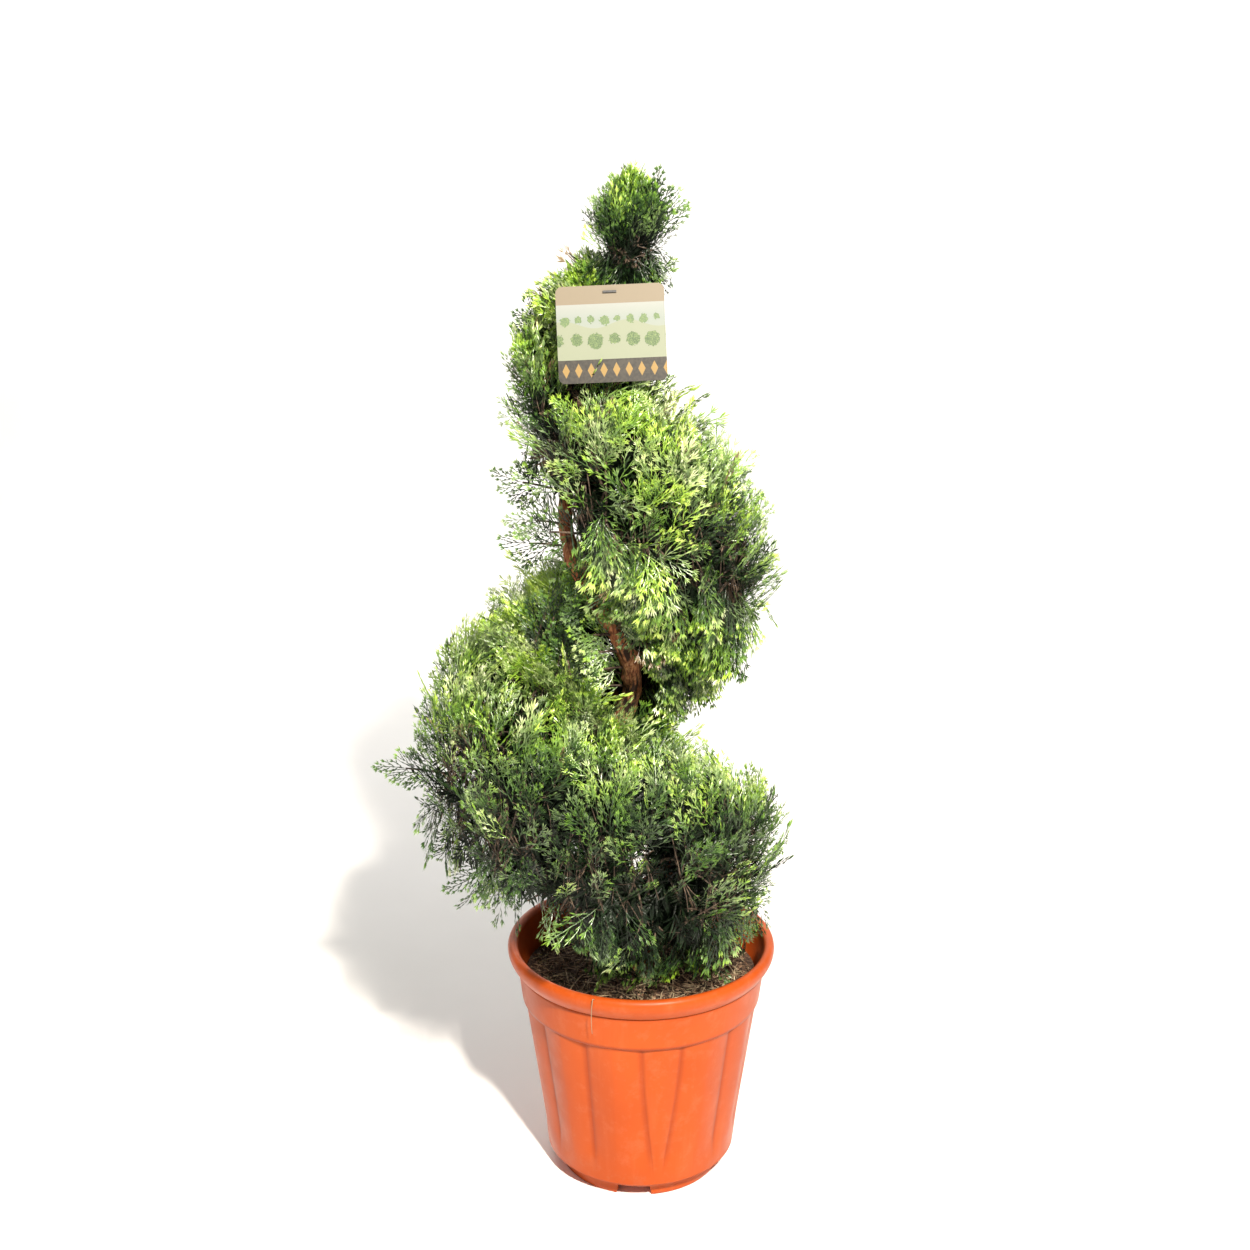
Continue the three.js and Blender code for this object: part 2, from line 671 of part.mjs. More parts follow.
// One mass: its core and sprays, hollowed for the trunk, and the stem it hangs on.
function ribbonMass(i) {
  const w = wayIn(i);
  const limbBefore = bough(i);
  const parts = [solidOf(ribbonCore(i))];
  coverMass(parts, i, roomInMass, 5, 4, SPRAY.length, (u, v) => {
    const [from, to] = massEnds(i);
    const turn = mix(from, to, 0.1 + 0.8 * u);
    const a = rad(mix(-112, 128, v));
    const root = sectionPoint(turn, a);
    const radial = vec(Math.cos(azimuth(turn)), Math.sin(azimuth(turn)), 0);
    const lift = 0.35 + 0.25 * Math.sin(a);
    const out = radial.multiplyScalar(Math.cos(a)).add(vec(0, 0, Math.sin(a) * 0.9 + lift));
    return { root, out: out.normalize() };
  });
  growShoots(parts, i);
  const stemStart = limbBefore ? w.enter - STEM.lap + CLEAR : w.leave - 6;
  const start = w.from.clone().addScaledVector(w.along, stemStart);
  const end = w.heart;
  const stem = solidOf(limb(straight(start, end), (t) => mix(STEM.radius, STEM.tip, t), 6, 1));
  let whole = wasm.Manifold.union(parts).subtract(trunkWide);
  whole = whole.add(limbBefore ? stem : stem.subtract(trunkNear));
  const reach = w.from.clone().addScaledVector(w.along, w.enter - STEM.lap + CLEAR);
  const sleeve = solidOf(limb(straight(w.from, reach), () => STEM.radius + 2.5, 8, 1));
  if (limbBefore) whole = whole.subtract(sleeve);
  return { solid: whole, limbBefore, sleeve };
}

// Keeps a mass on its own side of the two upright planes it shares with its neighbours.
function trimEnds(i, solid) {
  const [from, to] = massEnds(i);
  const cut = (whole, turn, sign) => {
    const a = azimuth(turn);
    const normal = [-sign * Math.sin(a), sign * Math.cos(a), 0];
    return whole.trimByPlane(normal, axisX(centreZ(turn)) * normal[0] + CLEAR / 2);
  };
  const body = cut(cut(solid, from, -1), to, 1);
  return to > 1.3 ? body.trimByPlane([0, 0, -1], CLEAR / 2 - CROWN.low) : body;
}

// The tuft at the top: a rounded core about the trunk's tip.
function crownMass() {
  const i = RIBBON.masses;
  const low = CROWN.low + CROWN.coreLow;
  const high = CROWN.high - CROWN.coreHigh;
  const heightAt = (up) => mix(low, high, (1 + up) / 2);
  const width = (up) => CROWN.core * Math.sqrt(1 - up * up) * (1 - 0.1 * up);
  const profile = [-1, -0.75, -0.3, 0.25, 0.7, 1].map((up) => new THREE.Vector2(width(up), heightAt(up)));
  const lathe = new THREE.LatheGeometry(profile, 10);
  lathe.rotateX(Math.PI / 2);
  lathe.translate(CROWN.x, 0, 0);
  const parts = [solidOf(lathe)];
  const room = (_, p) => Math.min(p.z - CROWN.low, CROWN.high - p.z, 1e3);
  coverMass(parts, i, room, 4, 5, SPRAY.length * CROWN.spraySize, (u, v) => {
    const up = mix(-0.85, 0.92, v);
    const a = u * 2 * Math.PI;
    const root = vec(CROWN.x + width(up) * Math.cos(a), width(up) * Math.sin(a), heightAt(up));
    const out = vec(Math.cos(a), Math.sin(a), 0).multiplyScalar(Math.sqrt(1 - up * up) + 0.1);
    return { root, out: out.add(vec(0, 0, 0.6 + 0.75 * up)).normalize() };
  });
  const leader = vec(CROWN.x + 22, -2, high - 4);
  parts.push(solidOf(twig(vec(CROWN.x + 12, 0, high - 30), leader)));
  parts.push(solidOf(sprayBlade(leader, vec(0.18, 0, 1).normalize(), 0.3, CROWN.high - high + 4, 3)));
  const whole = wasm.Manifold.union(parts).subtract(trunkWide);
  const stemWay = straight(trunkPoint(low + 18), vec(CROWN.x + CROWN.core * 0.7, 0, low + 42));
  const stem = solidOf(limb(stemWay, () => STEM.tip, 6, 1)).subtract(trunkNear);
  return largest(whole.add(stem).trimByPlane([0, 0, 1], CROWN.low + CLEAR / 2));
}

// ---------- assembly ----------
const finish = (colour, roughness) =>
  new THREE.MeshStandardMaterial({ color: colour, roughness, metalness: 0 });
const potFinish = finish(0xd9622f, 0.45);
const soilFinish = finish(0x3a2c22, 0.95);
const barkFinish = finish(0x8a6248, 0.85);
const leafFinish = finish(0x5f8f2c, 0.7);
const cardFinish = finish(0xe6e2cf, 0.35);
const tieFinish = finish(0x161616, 0.5);

const topiary = new THREE.Group();
function addPiece(name, geometry, material) {
  const mesh = new THREE.Mesh(geometry, material);
  mesh.name = name;
  topiary.add(mesh);
}

addPiece("pot", pot(), potFinish);
addPiece("soil", soil(), soilFinish);
addPiece("trunk", geometryOf(solidOf(trunk())), barkFinish);
const masses = Array.from({ length: RIBBON.masses }, (_, i) => ribbonMass(i));
masses.forEach(({ solid, limbBefore }, i) => {
  const number = String(i + 1).padStart(2, "0");
  const others = masses.filter((m, j) => j !== i && m.limbBefore).map((m) => m.sleeve);
  const trimmed = trimEnds(i, solid).subtract(wasm.Manifold.union(others));
  if (limbBefore) addPiece("bough_" + number, geometryOf(limbBefore), barkFinish);
  addPiece("foliage_" + number, geometryOf(largest(trimmed)), leafFinish);
});
addPiece("foliage_top", geometryOf(crownMass()), leafFinish);
addPiece("label_card", card(), cardFinish);
addPiece("label_tie", tie(), tieFinish);

export default topiary;
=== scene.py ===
import math

import bpy
import numpy as np
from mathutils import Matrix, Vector


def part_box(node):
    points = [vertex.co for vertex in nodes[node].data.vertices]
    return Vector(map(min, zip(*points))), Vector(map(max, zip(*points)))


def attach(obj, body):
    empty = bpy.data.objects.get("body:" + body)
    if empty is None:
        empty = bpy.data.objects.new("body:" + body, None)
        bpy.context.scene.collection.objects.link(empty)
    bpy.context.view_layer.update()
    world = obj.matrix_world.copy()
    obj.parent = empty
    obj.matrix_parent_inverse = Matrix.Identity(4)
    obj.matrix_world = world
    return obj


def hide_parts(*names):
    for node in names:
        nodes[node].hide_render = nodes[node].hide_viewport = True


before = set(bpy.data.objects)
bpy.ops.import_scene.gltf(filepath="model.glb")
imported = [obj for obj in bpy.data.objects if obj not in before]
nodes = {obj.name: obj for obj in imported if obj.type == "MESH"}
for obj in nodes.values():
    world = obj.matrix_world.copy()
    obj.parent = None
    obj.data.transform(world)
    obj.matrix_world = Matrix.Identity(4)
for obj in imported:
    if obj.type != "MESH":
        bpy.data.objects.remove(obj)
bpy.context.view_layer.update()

# Spiral topiary: a clipped white cedar in an orange-brown plastic pot.
# Sizes in the dictionaries are millimetres and degrees, and become metres when a mesh is made.
mm = 0.001
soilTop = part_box("soil")[1][2] / mm
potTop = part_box("pot")[1][2] / mm


# ---------- helpers ----------
def linear(text):
    # sRGB hex to linear: c/12.92 below 0.04045, else ((c + 0.055) / 1.055) to the power 2.4
    parts = [int(text[k : k + 2], 16) / 255 for k in (1, 3, 5)]
    return tuple(c / 12.92 if c <= 0.04045 else ((c + 0.055) / 1.055) ** 2.4 for c in parts) + (1.0,)


def smooth(low, high, x):
    # t = (x - low) / (high - low) held in 0..1, then t * t * (3 - 2 t)
    t = np.clip((x - low) / (high - low), 0, 1)
    return t * t * (3 - 2 * t)


def mix(a, b, t):
    # straight from a at t = 0 to b at t = 1
    return a + (b - a) * t


def unit(v):
    # v / |v|
    return v / np.maximum(np.linalg.norm(v, axis=-1, keepdims=True), 1e-9)


def stack(x, y, z):
    # three coordinate arrays, or numbers, to points
    return np.stack(np.broadcast_arrays(x, y, z), axis=-1).astype(float)


def makePiece(name, points, quads=None, tris=None, values=None, smoothFaces=True):
    # points in millimetres; values is {attribute name: one number per point}
    mesh = bpy.data.meshes.new(name)
    sets = [f for f in (quads, tris) if f is not None and len(f)]
    loops = np.concatenate([f.reshape(-1) for f in sets]).astype(np.int32)
    sizes = np.concatenate([np.full(len(f), f.shape[1]) for f in sets]).astype(np.int32)
    starts = np.concatenate([[0], np.cumsum(sizes)[:-1]]).astype(np.int32)
    mesh.vertices.add(len(points))
    mesh.vertices.foreach_set("co", (np.asarray(points) * mm).astype(np.float32).reshape(-1))
    mesh.loops.add(len(loops))
    mesh.loops.foreach_set("vertex_index", loops)
    mesh.polygons.add(len(sizes))
    mesh.polygons.foreach_set("loop_start", starts)
    mesh.polygons.foreach_set("use_smooth", np.full(len(sizes), smoothFaces))
    for key, numbers in (values or {}).items():
        layer = mesh.attributes.new(key, "FLOAT", "POINT")
        layer.data.foreach_set("value", np.asarray(numbers, dtype=np.float32))
    mesh.update(calc_edges=True)
    mesh.validate()
    piece = bpy.data.objects.new(name, mesh)
    bpy.context.scene.collection.objects.link(piece)
    return piece


def angles(count):
    # 2 pi k / count
    return np.arange(count) / count * 2 * np.pi


def gridQuads(rows, columns, closed):
    # quads between neighbouring rings; closed joins the last column to the first
    r = np.arange(rows - 1)[:, None] * columns
    c = np.arange(columns if closed else columns - 1)[None, :]
    d = (c + 1) % columns
    return np.stack([r + c, r + d, r + columns + d, r + columns + c], -1).reshape(-1, 4)


def poleCaps(rows, columns):
    # fans that close a stack of rings: the first ring to point n, the last to point n + 1, n = rows * columns
    c = np.arange(columns)
    d = (c + 1) % columns
    n = np.full(columns, rows * columns)
    return np.concatenate([np.stack([n, d, c], 1), np.stack([n + 1, n - columns + c, n - columns + d], 1)])


def repeated(faces, copies, step):
    # the same faces for each of many equal pieces, whose points follow each other step by step
    return (faces[None] + (np.arange(copies) * step)[:, None, None]).reshape(-1, faces.shape[1])


def settle(piece, material, slotName, *replaced):
    # a finished piece takes its material, rides the body and stands for the solids that it replaces
    piece.data.materials.append(material)
    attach(piece, "root")
    if replaced:
        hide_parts(*replaced)


def noiseAt(x, y, z, size, seed):
    # smooth value noise: eight hashed corners of a lattice blended by the smooth step; result -1..1
    p = np.stack(np.broadcast_arrays(x, y, z), -1) / size
    cell = np.floor(p)
    t = p - cell
    t = t * t * (3 - 2 * t)
    total = 0.0
    for corner in range(8):
        bits = np.array([corner & 1, corner >> 1 & 1, corner >> 2 & 1])
        q = cell + bits
        h = np.sin(q[..., 0] * 127.1 + q[..., 1] * 311.7 + q[..., 2] * 74.7 + seed * 17.3) * 43758.5453
        weight = np.prod(np.where(bits, t, 1 - t), axis=-1)
        total = total + weight * (h - np.floor(h))
    return 2 * total - 1


# ---------- material helpers ----------
def newMaterial(name):
    material = bpy.data.materials.new(name)
    material.use_nodes = True
    return material, material.node_tree, material.node_tree.nodes["Principled BSDF"]


def feed(tree, node, **inputs):
    # an input is a value or another node's output socket; i6 is the node's input 6, Base_Color goes by name
    for key, value in inputs.items():
        target = node.inputs[int(key[1:])] if key[1:].isdigit() else node.inputs[key.replace("_", " ")]
        if isinstance(value, bpy.types.NodeSocket):
            tree.links.new(value, target)
        else:
            target.default_value = value
    return node


def addNode(tree, kind, settings=None, **inputs):
    node = tree.nodes.new(kind)
    for key, value in (settings or {}).items():
        setattr(node, key, value)
    return feed(tree, node, **inputs)


def objectPlace(tree):
    return addNode(tree, "ShaderNodeTexCoord").outputs["Object"]


def noise(tree, scale, detail=3.0, rough=0.55, stretch=(1, 1, 1)):
    # scale counts grains to the metre; stretch squeezes them along each axis
    place = addNode(tree, "ShaderNodeMapping", Vector=objectPlace(tree), Scale=stretch).outputs[0]
    node = addNode(tree, "ShaderNodeTexNoise", Vector=place, Scale=scale, Detail=detail, Roughness=rough)
    return node.outputs["Fac"]


def ramp(tree, factor, *stops):
    # stops are (place, hex colour or grey number)
    node = addNode(tree, "ShaderNodeValToRGB", i0=factor)
    elements = node.color_ramp.elements
    while len(elements) < len(stops):
        elements.new(0.5)
    for element, (place, colour) in zip(elements, stops):
        element.position = place
        element.color = linear(colour) if isinstance(colour, str) else (colour, colour, colour, 1)
    return node.outputs[0]


def calc(tree, operation, a, b=0.0, c=0.0):
    return addNode(tree, "ShaderNodeMath", {"operation": operation}, i0=a, i1=b, i2=c).outputs[0]


def times(tree, a, b):
    return calc(tree, "MULTIPLY", a, b)


def blend(tree, factor, a, b, way="MIX"):
    return addNode(tree, "ShaderNodeMix", {"data_type": "RGBA", "blend_type": way}, i0=factor, i6=a, i7=b).outputs[2]


def bump(tree, height, strength, distance):
    # distance in millimetres
    return addNode(tree, "ShaderNodeBump", Height=height, Strength=strength, Distance=distance * mm).outputs[0]


def attribute(tree, name):
    return addNode(tree, "ShaderNodeAttribute", {"attribute_name": name}).outputs["Fac"]


# ---------- camera, floor and light ----------
# metres and degrees
cameraPlace = {"back": 1.954, "height": 1.300, "pitch": 17.44, "yaw": 0.563, "lens": 51.84, "sensor": 36.0}
lightPlace = {
    "key": {"at": (0.75, -2.6, 2.95), "size": 0.2, "power": 350, "colour": "#fff6e8"},
    "fill": {"at": (-2.0, -2.8, 1.7), "size": 2.4, "power": 7, "colour": "#eef4ff"},
    "rim": {"at": (-1.0, 2.2, 2.6), "size": 1.4, "power": 26, "colour": "#fffaf0"},
    "back": {"at": (0.0, 1.9, 3.6), "size": 2.0, "power": 90, "colour": "#ffffff", "aim": (0.0, 4.4, 2.2)},
    "sky": 0.24,
}
stagePlace = {"flat": 3.2, "bend": 1.2, "wall": 7.0}


def setStage():
    scene = bpy.context.scene
    view = bpy.data.cameras.new("camera")
    view.lens = cameraPlace["lens"]
    view.sensor_width = cameraPlace["sensor"]
    view.clip_start = 0.05
    camera = bpy.data.objects.new("camera", view)
    camera.location = (0, -cameraPlace["back"], cameraPlace["height"])
    camera.rotation_euler = (math.radians(90 - cameraPlace["pitch"]), 0, math.radians(cameraPlace["yaw"]))
    scene.collection.objects.link(camera)
    scene.camera = camera
    scene.view_settings.view_transform = "Standard"

    for name in ("key", "fill", "rim", "back"):
        spec = lightPlace[name]
        lamp = bpy.data.lights.new(name, "AREA")
        lamp.size = spec["size"]
        lamp.energy = spec["power"]
        lamp.color = linear(spec["colour"])[:3]
        light = bpy.data.objects.new(name, lamp)
        light.location = spec["at"]
        aim = Vector(spec.get("aim", (0, 0, 0.6))) - light.location
        light.rotation_euler = aim.to_track_quat("-Z", "Y").to_euler()
        scene.collection.objects.link(light)

    world = bpy.data.worlds.new("studio")
    world.use_nodes = True
    sky = world.node_tree.nodes["Background"]
    sky.inputs["Color"].default_value = linear("#f4f6f8")
    sky.inputs["Strength"].default_value = lightPlace["sky"]
    scene.world = world

    # floor and backdrop in one sheet: flat, then a quarter round, then upright
    flat, bend, wall = stagePlace["flat"], stagePlace["bend"], stagePlace["wall"]
    turn = np.linspace(0.1, np.pi / 2, 14)
    along = np.concatenate([np.linspace(-6, flat, 24), flat + bend * np.sin(turn), [flat + bend] * 6])
    up = np.concatenate([np.zeros(24), bend * (1 - np.cos(turn)), np.linspace(1.6, wall, 6)])
    across = np.linspace(-6, 6, 12)
    points = stack(across[None, :], along[:, None], up[:, None]).reshape(-1, 3) / mm
    floor = makePiece("floor", points, gridQuads(len(along), len(across), False))
    material, tree, shader = newMaterial("matt_paper_sweep")
    tint = ramp(tree, noise(tree, 3.0), (0.3, "#f4f3f1"), (0.7, "#f8f7f6"))
    feed(tree, shader, Base_Color=tint, Roughness=0.85)
    floor.data.materials.append(material)


setStage()
print("stage: camera, light and floor")


# ---------- pot ----------
pot = {
    "height": 293.0,
    "rimRadius": 160.0,
    "lipHeight": 27.0,
    "mouthRadius": 147.5,
    "bandTop": 148.8,
    "bandFoot": 143.4,
    "bandFootZ": 222.5,
    "wallTop": 142.0,
    "wallFoot": 114.5,
    "flareZ": 26.0,
    "footRadius": 98.0,
    "footTop": 12.0,
    "footWidth": 5.0,
    "floorZ": 8.0,
    "hubRadius": 40.0,
    "thick": 3.0,
    "panels": 12,
    "narrowAngle": 10.5,
    "narrowHalfTop": 9.75,
    "narrowHalfFoot": 1.5,
    "fluteDepth": 4.6,
    "notches": 4,
    "notchAngle": -4.5,
    "notchWidth": 40.0,
    "notchHeight": 12.5,
    "drainHoles": 8,
    "drainRadius": 5.0,
    "drainRing": 72.0,
    "perLine": 28,
}


def wallRadius(z):
    # straight from wallFoot at the flare to wallTop under the band
    return mix(pot["wallFoot"], pot["wallTop"], (z - pot["flareZ"]) / (pot["bandFootZ"] - pot["flareZ"]))


def panelLines(z):
    # the angle of each valley and crest line at each height, valley first: the narrow panel's two edges
    # close towards its middle as a sine of the height, the others stand evenly round the rest
    p = pot
    share = np.clip((z - p["flareZ"]) / (p["bandFootZ"] - p["flareZ"]), 0, 1)
    half = mix(p["narrowHalfFoot"], p["narrowHalfTop"], np.sin(share * math.pi / 2))
    step = (360 - 2 * p["narrowHalfTop"]) / p["panels"] / 2
    others = p["narrowAngle"] + p["narrowHalfTop"] + step * np.arange(1, 2 * p["panels"])
    middle = np.full_like(z, p["narrowAngle"])
    lines = [middle - half, middle, middle + half] + [np.full_like(z, a) for a in others] + [middle - half + 360]
    return np.stack(lines, 1)


def potGrid(z):
    # perLine columns from each line to the next, so that the mesh runs along the panels' edges;
    # gives each column's angle, its share of the way from crest (0) to valley (1), and which are narrow
    lines = panelLines(z)
    count = lines.shape[1] - 1
    t = np.arange(pot["perLine"]) / pot["perLine"]
    degrees = lines[:, :-1, None] * (1 - t) + lines[:, 1:, None] * t
    fromCrest = np.where(np.arange(count)[:, None] % 2 == 0, 1 - t, t)
    narrow = np.repeat(np.arange(count) < 2, pot["perLine"])
    return degrees.reshape(len(z), -1), fromCrest.reshape(1, -1), narrow[None, :]


def potOutline():
    # the profile as (radius, height), from the middle of the underside round the outside and back in;
    # also the count of its points up to the top of the foot
    p = pot
    lipZ = p["height"] - p["lipHeight"]
    foot, inFoot, bandZ = p["footRadius"], p["footRadius"] - p["footWidth"], p["bandFootZ"]
    outline = [(0, 0), (p["hubRadius"], 0), (p["hubRadius"] + 4, p["floorZ"]), (inFoot - 2, p["floorZ"])]
    outline += [(inFoot, 0.6), (inFoot + 0.6, 0), (foot - 1, 0), (foot, 0.8)]
    # the upright foot ring, then a hollow flare out to the wall's lower edge
    outline += [(foot + t, mix(0.8, p["footTop"], t)) for t in (0.35, 0.7, 1)]
    for t in np.linspace(0.12, 1, 8):
        outline.append((foot + 1 + (p["wallFoot"] - foot - 1) * t**1.5, mix(p["footTop"], p["flareZ"] - 1.2, t)))
    footRows = len(outline) - 1
    outline += [(float(wallRadius(z)), z) for z in np.linspace(p["flareZ"], bandZ - 0.6, 46)]
    outline += [(p["wallTop"] - 0.2, bandZ + 0.4), (p["bandFoot"] - 0.5, bandZ), (p["bandFoot"], bandZ + 0.6)]
    outline += [(mix(p["bandFoot"], p["bandTop"], t), mix(bandZ, lipZ, t)) for t in np.linspace(0.1, 1, 8)]
    # a fine groove under the lip, then the lip swells out to the rim as a sine
    outline += [(p["bandTop"] + out, lipZ + up) for out, up in ((-0.7, 0.5), (1.4, 0.5), (2.6, 1.0))]
    for t in np.linspace(0.05, 1, 9):
        swell = math.sin(t * math.pi / 2)
        outline.append((mix(p["bandTop"] + 3, p["rimRadius"], swell), mix(lipZ + 1.3, p["height"] - 8.5, t)))
    middle = (p["rimRadius"] + p["mouthRadius"]) / 2
    half = (p["rimRadius"] - p["mouthRadius"]) / 2
    for a in np.radians(np.linspace(0, 180, 17)):
        outline.append((middle + half * math.cos(a), p["height"] - 7.5 + 7.5 * math.sin(a)))
    # down the inside to the floor
    outline += [(p["mouthRadius"] - 0.3, p["height"] - 14), (p["bandFoot"] - 3.2, bandZ + 3)]
    for level, z in ((bandZ, bandZ - 4), (120, 120), (26, 26)):
        outline.append((float(wallRadius(level)) - p["fluteDepth"] - p["thick"], z))
    outline += [(foot - 4, p["floorZ"] + 3), (p["hubRadius"] + 2, p["floorZ"] + 3), (p["hubRadius"] - 2, 3), (0, 3)]
    return np.array(outline, dtype=float), footRows


def potSkin():
    # the profile turned round the axis; the outer wall is pressed in by fluteDepth and the foot is
    # lifted inside each notch, so that z = max(z, notch height) there
    p = pot
    lipZ = p["height"] - p["lipHeight"]
    profile, footRows = potOutline()
    ring = profile[1:-1]
    degrees, fromCrest, narrow = potGrid(ring[:, 1])
    around = degrees.shape[1]
    r = np.repeat(ring[:, :1], around, 1)
    z = np.repeat(ring[:, 1:], around, 1)
    onWall = (np.abs(r - wallRadius(z)) < 0.01) & (z > p["footTop"]) & (z < p["bandFootZ"])
    bow = np.where(narrow, 0.45 + 0.55 * fromCrest**1.6, fromCrest**1.5)
    fade = smooth(p["flareZ"] + 4, p["flareZ"] + 50, z)
    r = np.where(onWall, r - p["fluteDepth"] * bow * fade, r)
    halfNotch = math.degrees(math.asin(p["notchWidth"] / 2 / p["footRadius"]))
    gap = 360 / p["notches"]
    away = np.abs((degrees - p["notchAngle"] + gap / 2) % gap - gap / 2)
    nearFoot = r > p["footRadius"] - 8
    lift = p["notchHeight"] * smooth(halfNotch + 0.7, halfNotch - 0.7, away) * nearFoot
    skirt = (np.arange(len(ring)) < footRows)[:, None]
    z = np.where(skirt & nearFoot, np.maximum(z, lift), z)
    a = np.radians(degrees)
    points = stack(r * np.sin(a), -r * np.cos(a), z).reshape(-1, 3)
    # painted shade: 1 in the valley lines, fading out a few millimetres away, and painted shadow lines along the two
    # seams under the lip and the band
    valley = np.where(fromCrest > 0.5, smooth(0.78, 1.0, fromCrest), 0) * fade * onWall
    underLip = (np.abs(z - lipZ - 0.4) < 0.5) & (r < p["bandTop"] + 2)
    underBand = (np.abs(z - p["bandFootZ"]) < 1) & (r > p["wallTop"] - p["fluteDepth"] - 1)
    valley = np.maximum(valley, np.where(underLip | underBand, 1.3, 0))
    points = np.concatenate([points, [[0, 0, 0], [0, 0, p["thick"]]]])
    values = {"valley": np.append(valley, [0, 0])}
    return makePiece("pot_shell", points, gridQuads(len(ring), around, True), poleCaps(len(ring), around), values)


def drainDiscs():
    # the soil that shows in each drain hole: discs under the raised floor,
    # (x, y) = middle of the hole + radius * t * (cos a, sin a)
    p = pot
    t, a = np.meshgrid(np.linspace(0.02, 1, 6), angles(24), indexing="ij")
    disc = p["drainRadius"] * np.stack([t * np.cos(a), t * np.sin(a)], -1).reshape(-1, 2)
    middle = (np.arange(p["drainHoles"]) + 0.5) / p["drainHoles"] * 2 * np.pi
    ring = p["drainRing"] * np.stack([np.cos(middle), np.sin(middle)], -1)
    x, y = (ring[:, None] + disc[None]).reshape(-1, 2).T
    z = p["floorZ"] - 0.3 - 0.2 * noiseAt(x, y, 0, 2, 3)
    return makePiece("pot_drains", stack(x, y, z), repeated(gridQuads(6, 24, True), len(ring), len(disc)))


def potPlastic():
    # moulded polypropylene: a satin skin with a fine ripple, so that the wall's highlights break softly;
    # pale dust and a few long scuffs say that it has been handled; the valley lines and seams are darkened with
    # painted shade
    material, tree, shader = newMaterial("moulded_polypropylene")
    base = ramp(tree, noise(tree, 9.0, 4.0), (0.3, "#a14110"), (0.7, "#ab4915"))
    streaks = ramp(tree, noise(tree, 1.0, 4.0, stretch=(60, 60, 3)), (0.55, 0.0), (0.75, 1.0))
    faded = blend(tree, times(tree, streaks, 0.12), base, linear("#c8744a"))
    dust = ramp(tree, noise(tree, 55.0, 6.0, 0.7), (0.52, 0.0), (0.72, 1.0))
    dusty = blend(tree, times(tree, dust, 0.08), faded, linear("#d49c7c"))
    scuffs = ramp(tree, noise(tree, 1.0, 2.0, stretch=(9, 9, 260)), (0.70, 0.0), (0.74, 1.0))
    patches = ramp(tree, noise(tree, 14.0, 2.0), (0.55, 0.0), (0.65, 1.0))
    scuffed = blend(tree, times(tree, times(tree, scuffs, patches), 0.45), dusty, linear("#8f3f1f"))
    # soil splashed on the lowest 60 mm, then the painted shade in the valleys and the painted shadow lines at the
    # seams
    height = addNode(tree, "ShaderNodeSeparateXYZ", Vector=objectPlace(tree)).outputs[2]
    low = ramp(tree, calc(tree, "DIVIDE", height, 0.06), (0.0, 1.0), (1.0, 0.0))
    soiled = blend(tree, times(tree, low, times(tree, dust, 0.4)), scuffed, linear("#7d4a30"))
    shaded = blend(tree, times(tree, attribute(tree, "valley"), 0.5), soiled, linear("#7c2a0a"))
    rough = ramp(tree, noise(tree, 30.0, 4.0), (0.3, 0.34), (0.7, 0.46))
    ripple = calc(tree, "ADD", noise(tree, 1400.0, 2.0), times(tree, noise(tree, 40.0, 2.0), 2.0))
    feed(tree, shader, Base_Color=shaded, Roughness=rough, IOR=1.49, Specular_IOR_Level=0.2)
    feed(tree, shader, Normal=bump(tree, ripple, 0.10, 0.4))
    return material


settle(potSkin(), potPlastic(), "pot", "pot")
print("pot: shell")


# ---------- trunk and the ribbon's course, by the same rule as the solids ----------
seed = 11
trunkShape = {
    "foot": 256.3,
    "tip": 1152.0,
    "baseRadius": 15.0,
    "tipRadius": 2.2,
    "flare": 6.0,
    "flareFade": 20.0,
    "swing": 38.0,
    "swingRise": 400.0,
    "swingStart": 620.0,
    "lean": -48.0,
    "topLean": -18.0,
}
ribbon = {
    "first": -0.12,
    "last": 1.74,
    "masses": 12,
    "radius": [165, 226, 228, 220, 178, 172, 160, 134, 92],  # at each quarter turn
    "centre": [376, 402, 454, 532, 634, 742, 854, 955, 1045],
    "halfHeight": [28, 126, 168, 162, 144, 146, 138, 106, 42],
    "taper": 0.2,
    "tuckLow": 0.36,
    "tuckHigh": 0.14,
    "axisLow": -50.0,
    "axisHigh": -18.0,
    "innerRadius": 18.0,
    "sprayReach": 25.0,
}
crown = {"x": -13.0, "low": 1060.0, "high": 1190.0, "core": 32.0, "coreLow": 12.0, "coreHigh": 31.0}
card = {
    "width": 112.0,
    "height": 100.0,
    "thick": 0.8,
    "corner": 7.0,
    "x": -34.5,
    "topY": -84.0,
    "topZ": 1079.0,
    "tilt": 17.0,
    "roll": 2.6,
}


def chance(mass, twig, use):
    # the seeded rule: the fraction of sin((mass + seed) 127.1 + twig 311.7 + use 74.7) times 43758.5453
    s = np.sin((mass + seed) * 127.1 + twig * 311.7 + use * 74.7) * 43758.5453
    return s - np.floor(s)


def spread(mass, twig, use):
    # the same rule over -1..1
    return 2 * chance(mass, twig, use) - 1


def trunkPoint(z):
    # a corkscrew whose middle leans left and comes back near the top
    t = trunkShape
    z = np.asarray(z, dtype=float)
    turn = (z - t["swingStart"]) / t["swingRise"] * 2 * np.pi
    swing = t["swing"] * smooth(t["foot"], 560, z) * (1 - 0.85 * smooth(900, 1090, z))
    middle = mix(t["lean"] * smooth(t["foot"], 600, z), t["topLean"], smooth(860, 1060, z))
    return stack(middle + swing * np.cos(turn), -swing * np.sin(turn), z)


def trunkRadius(z):
    # tip + (base - tip) * (what is left of the height)^0.85, plus a root flare that fades as e^-(rise / fade)
    t = trunkShape
    left = 1 - (z - t["foot"]) / (t["tip"] - t["foot"])
    flare = t["flare"] * np.exp(-(z - t["foot"]) / t["flareFade"])
    return mix(t["tipRadius"], t["baseRadius"], np.clip(left, 0, 1) ** 0.85) + flare


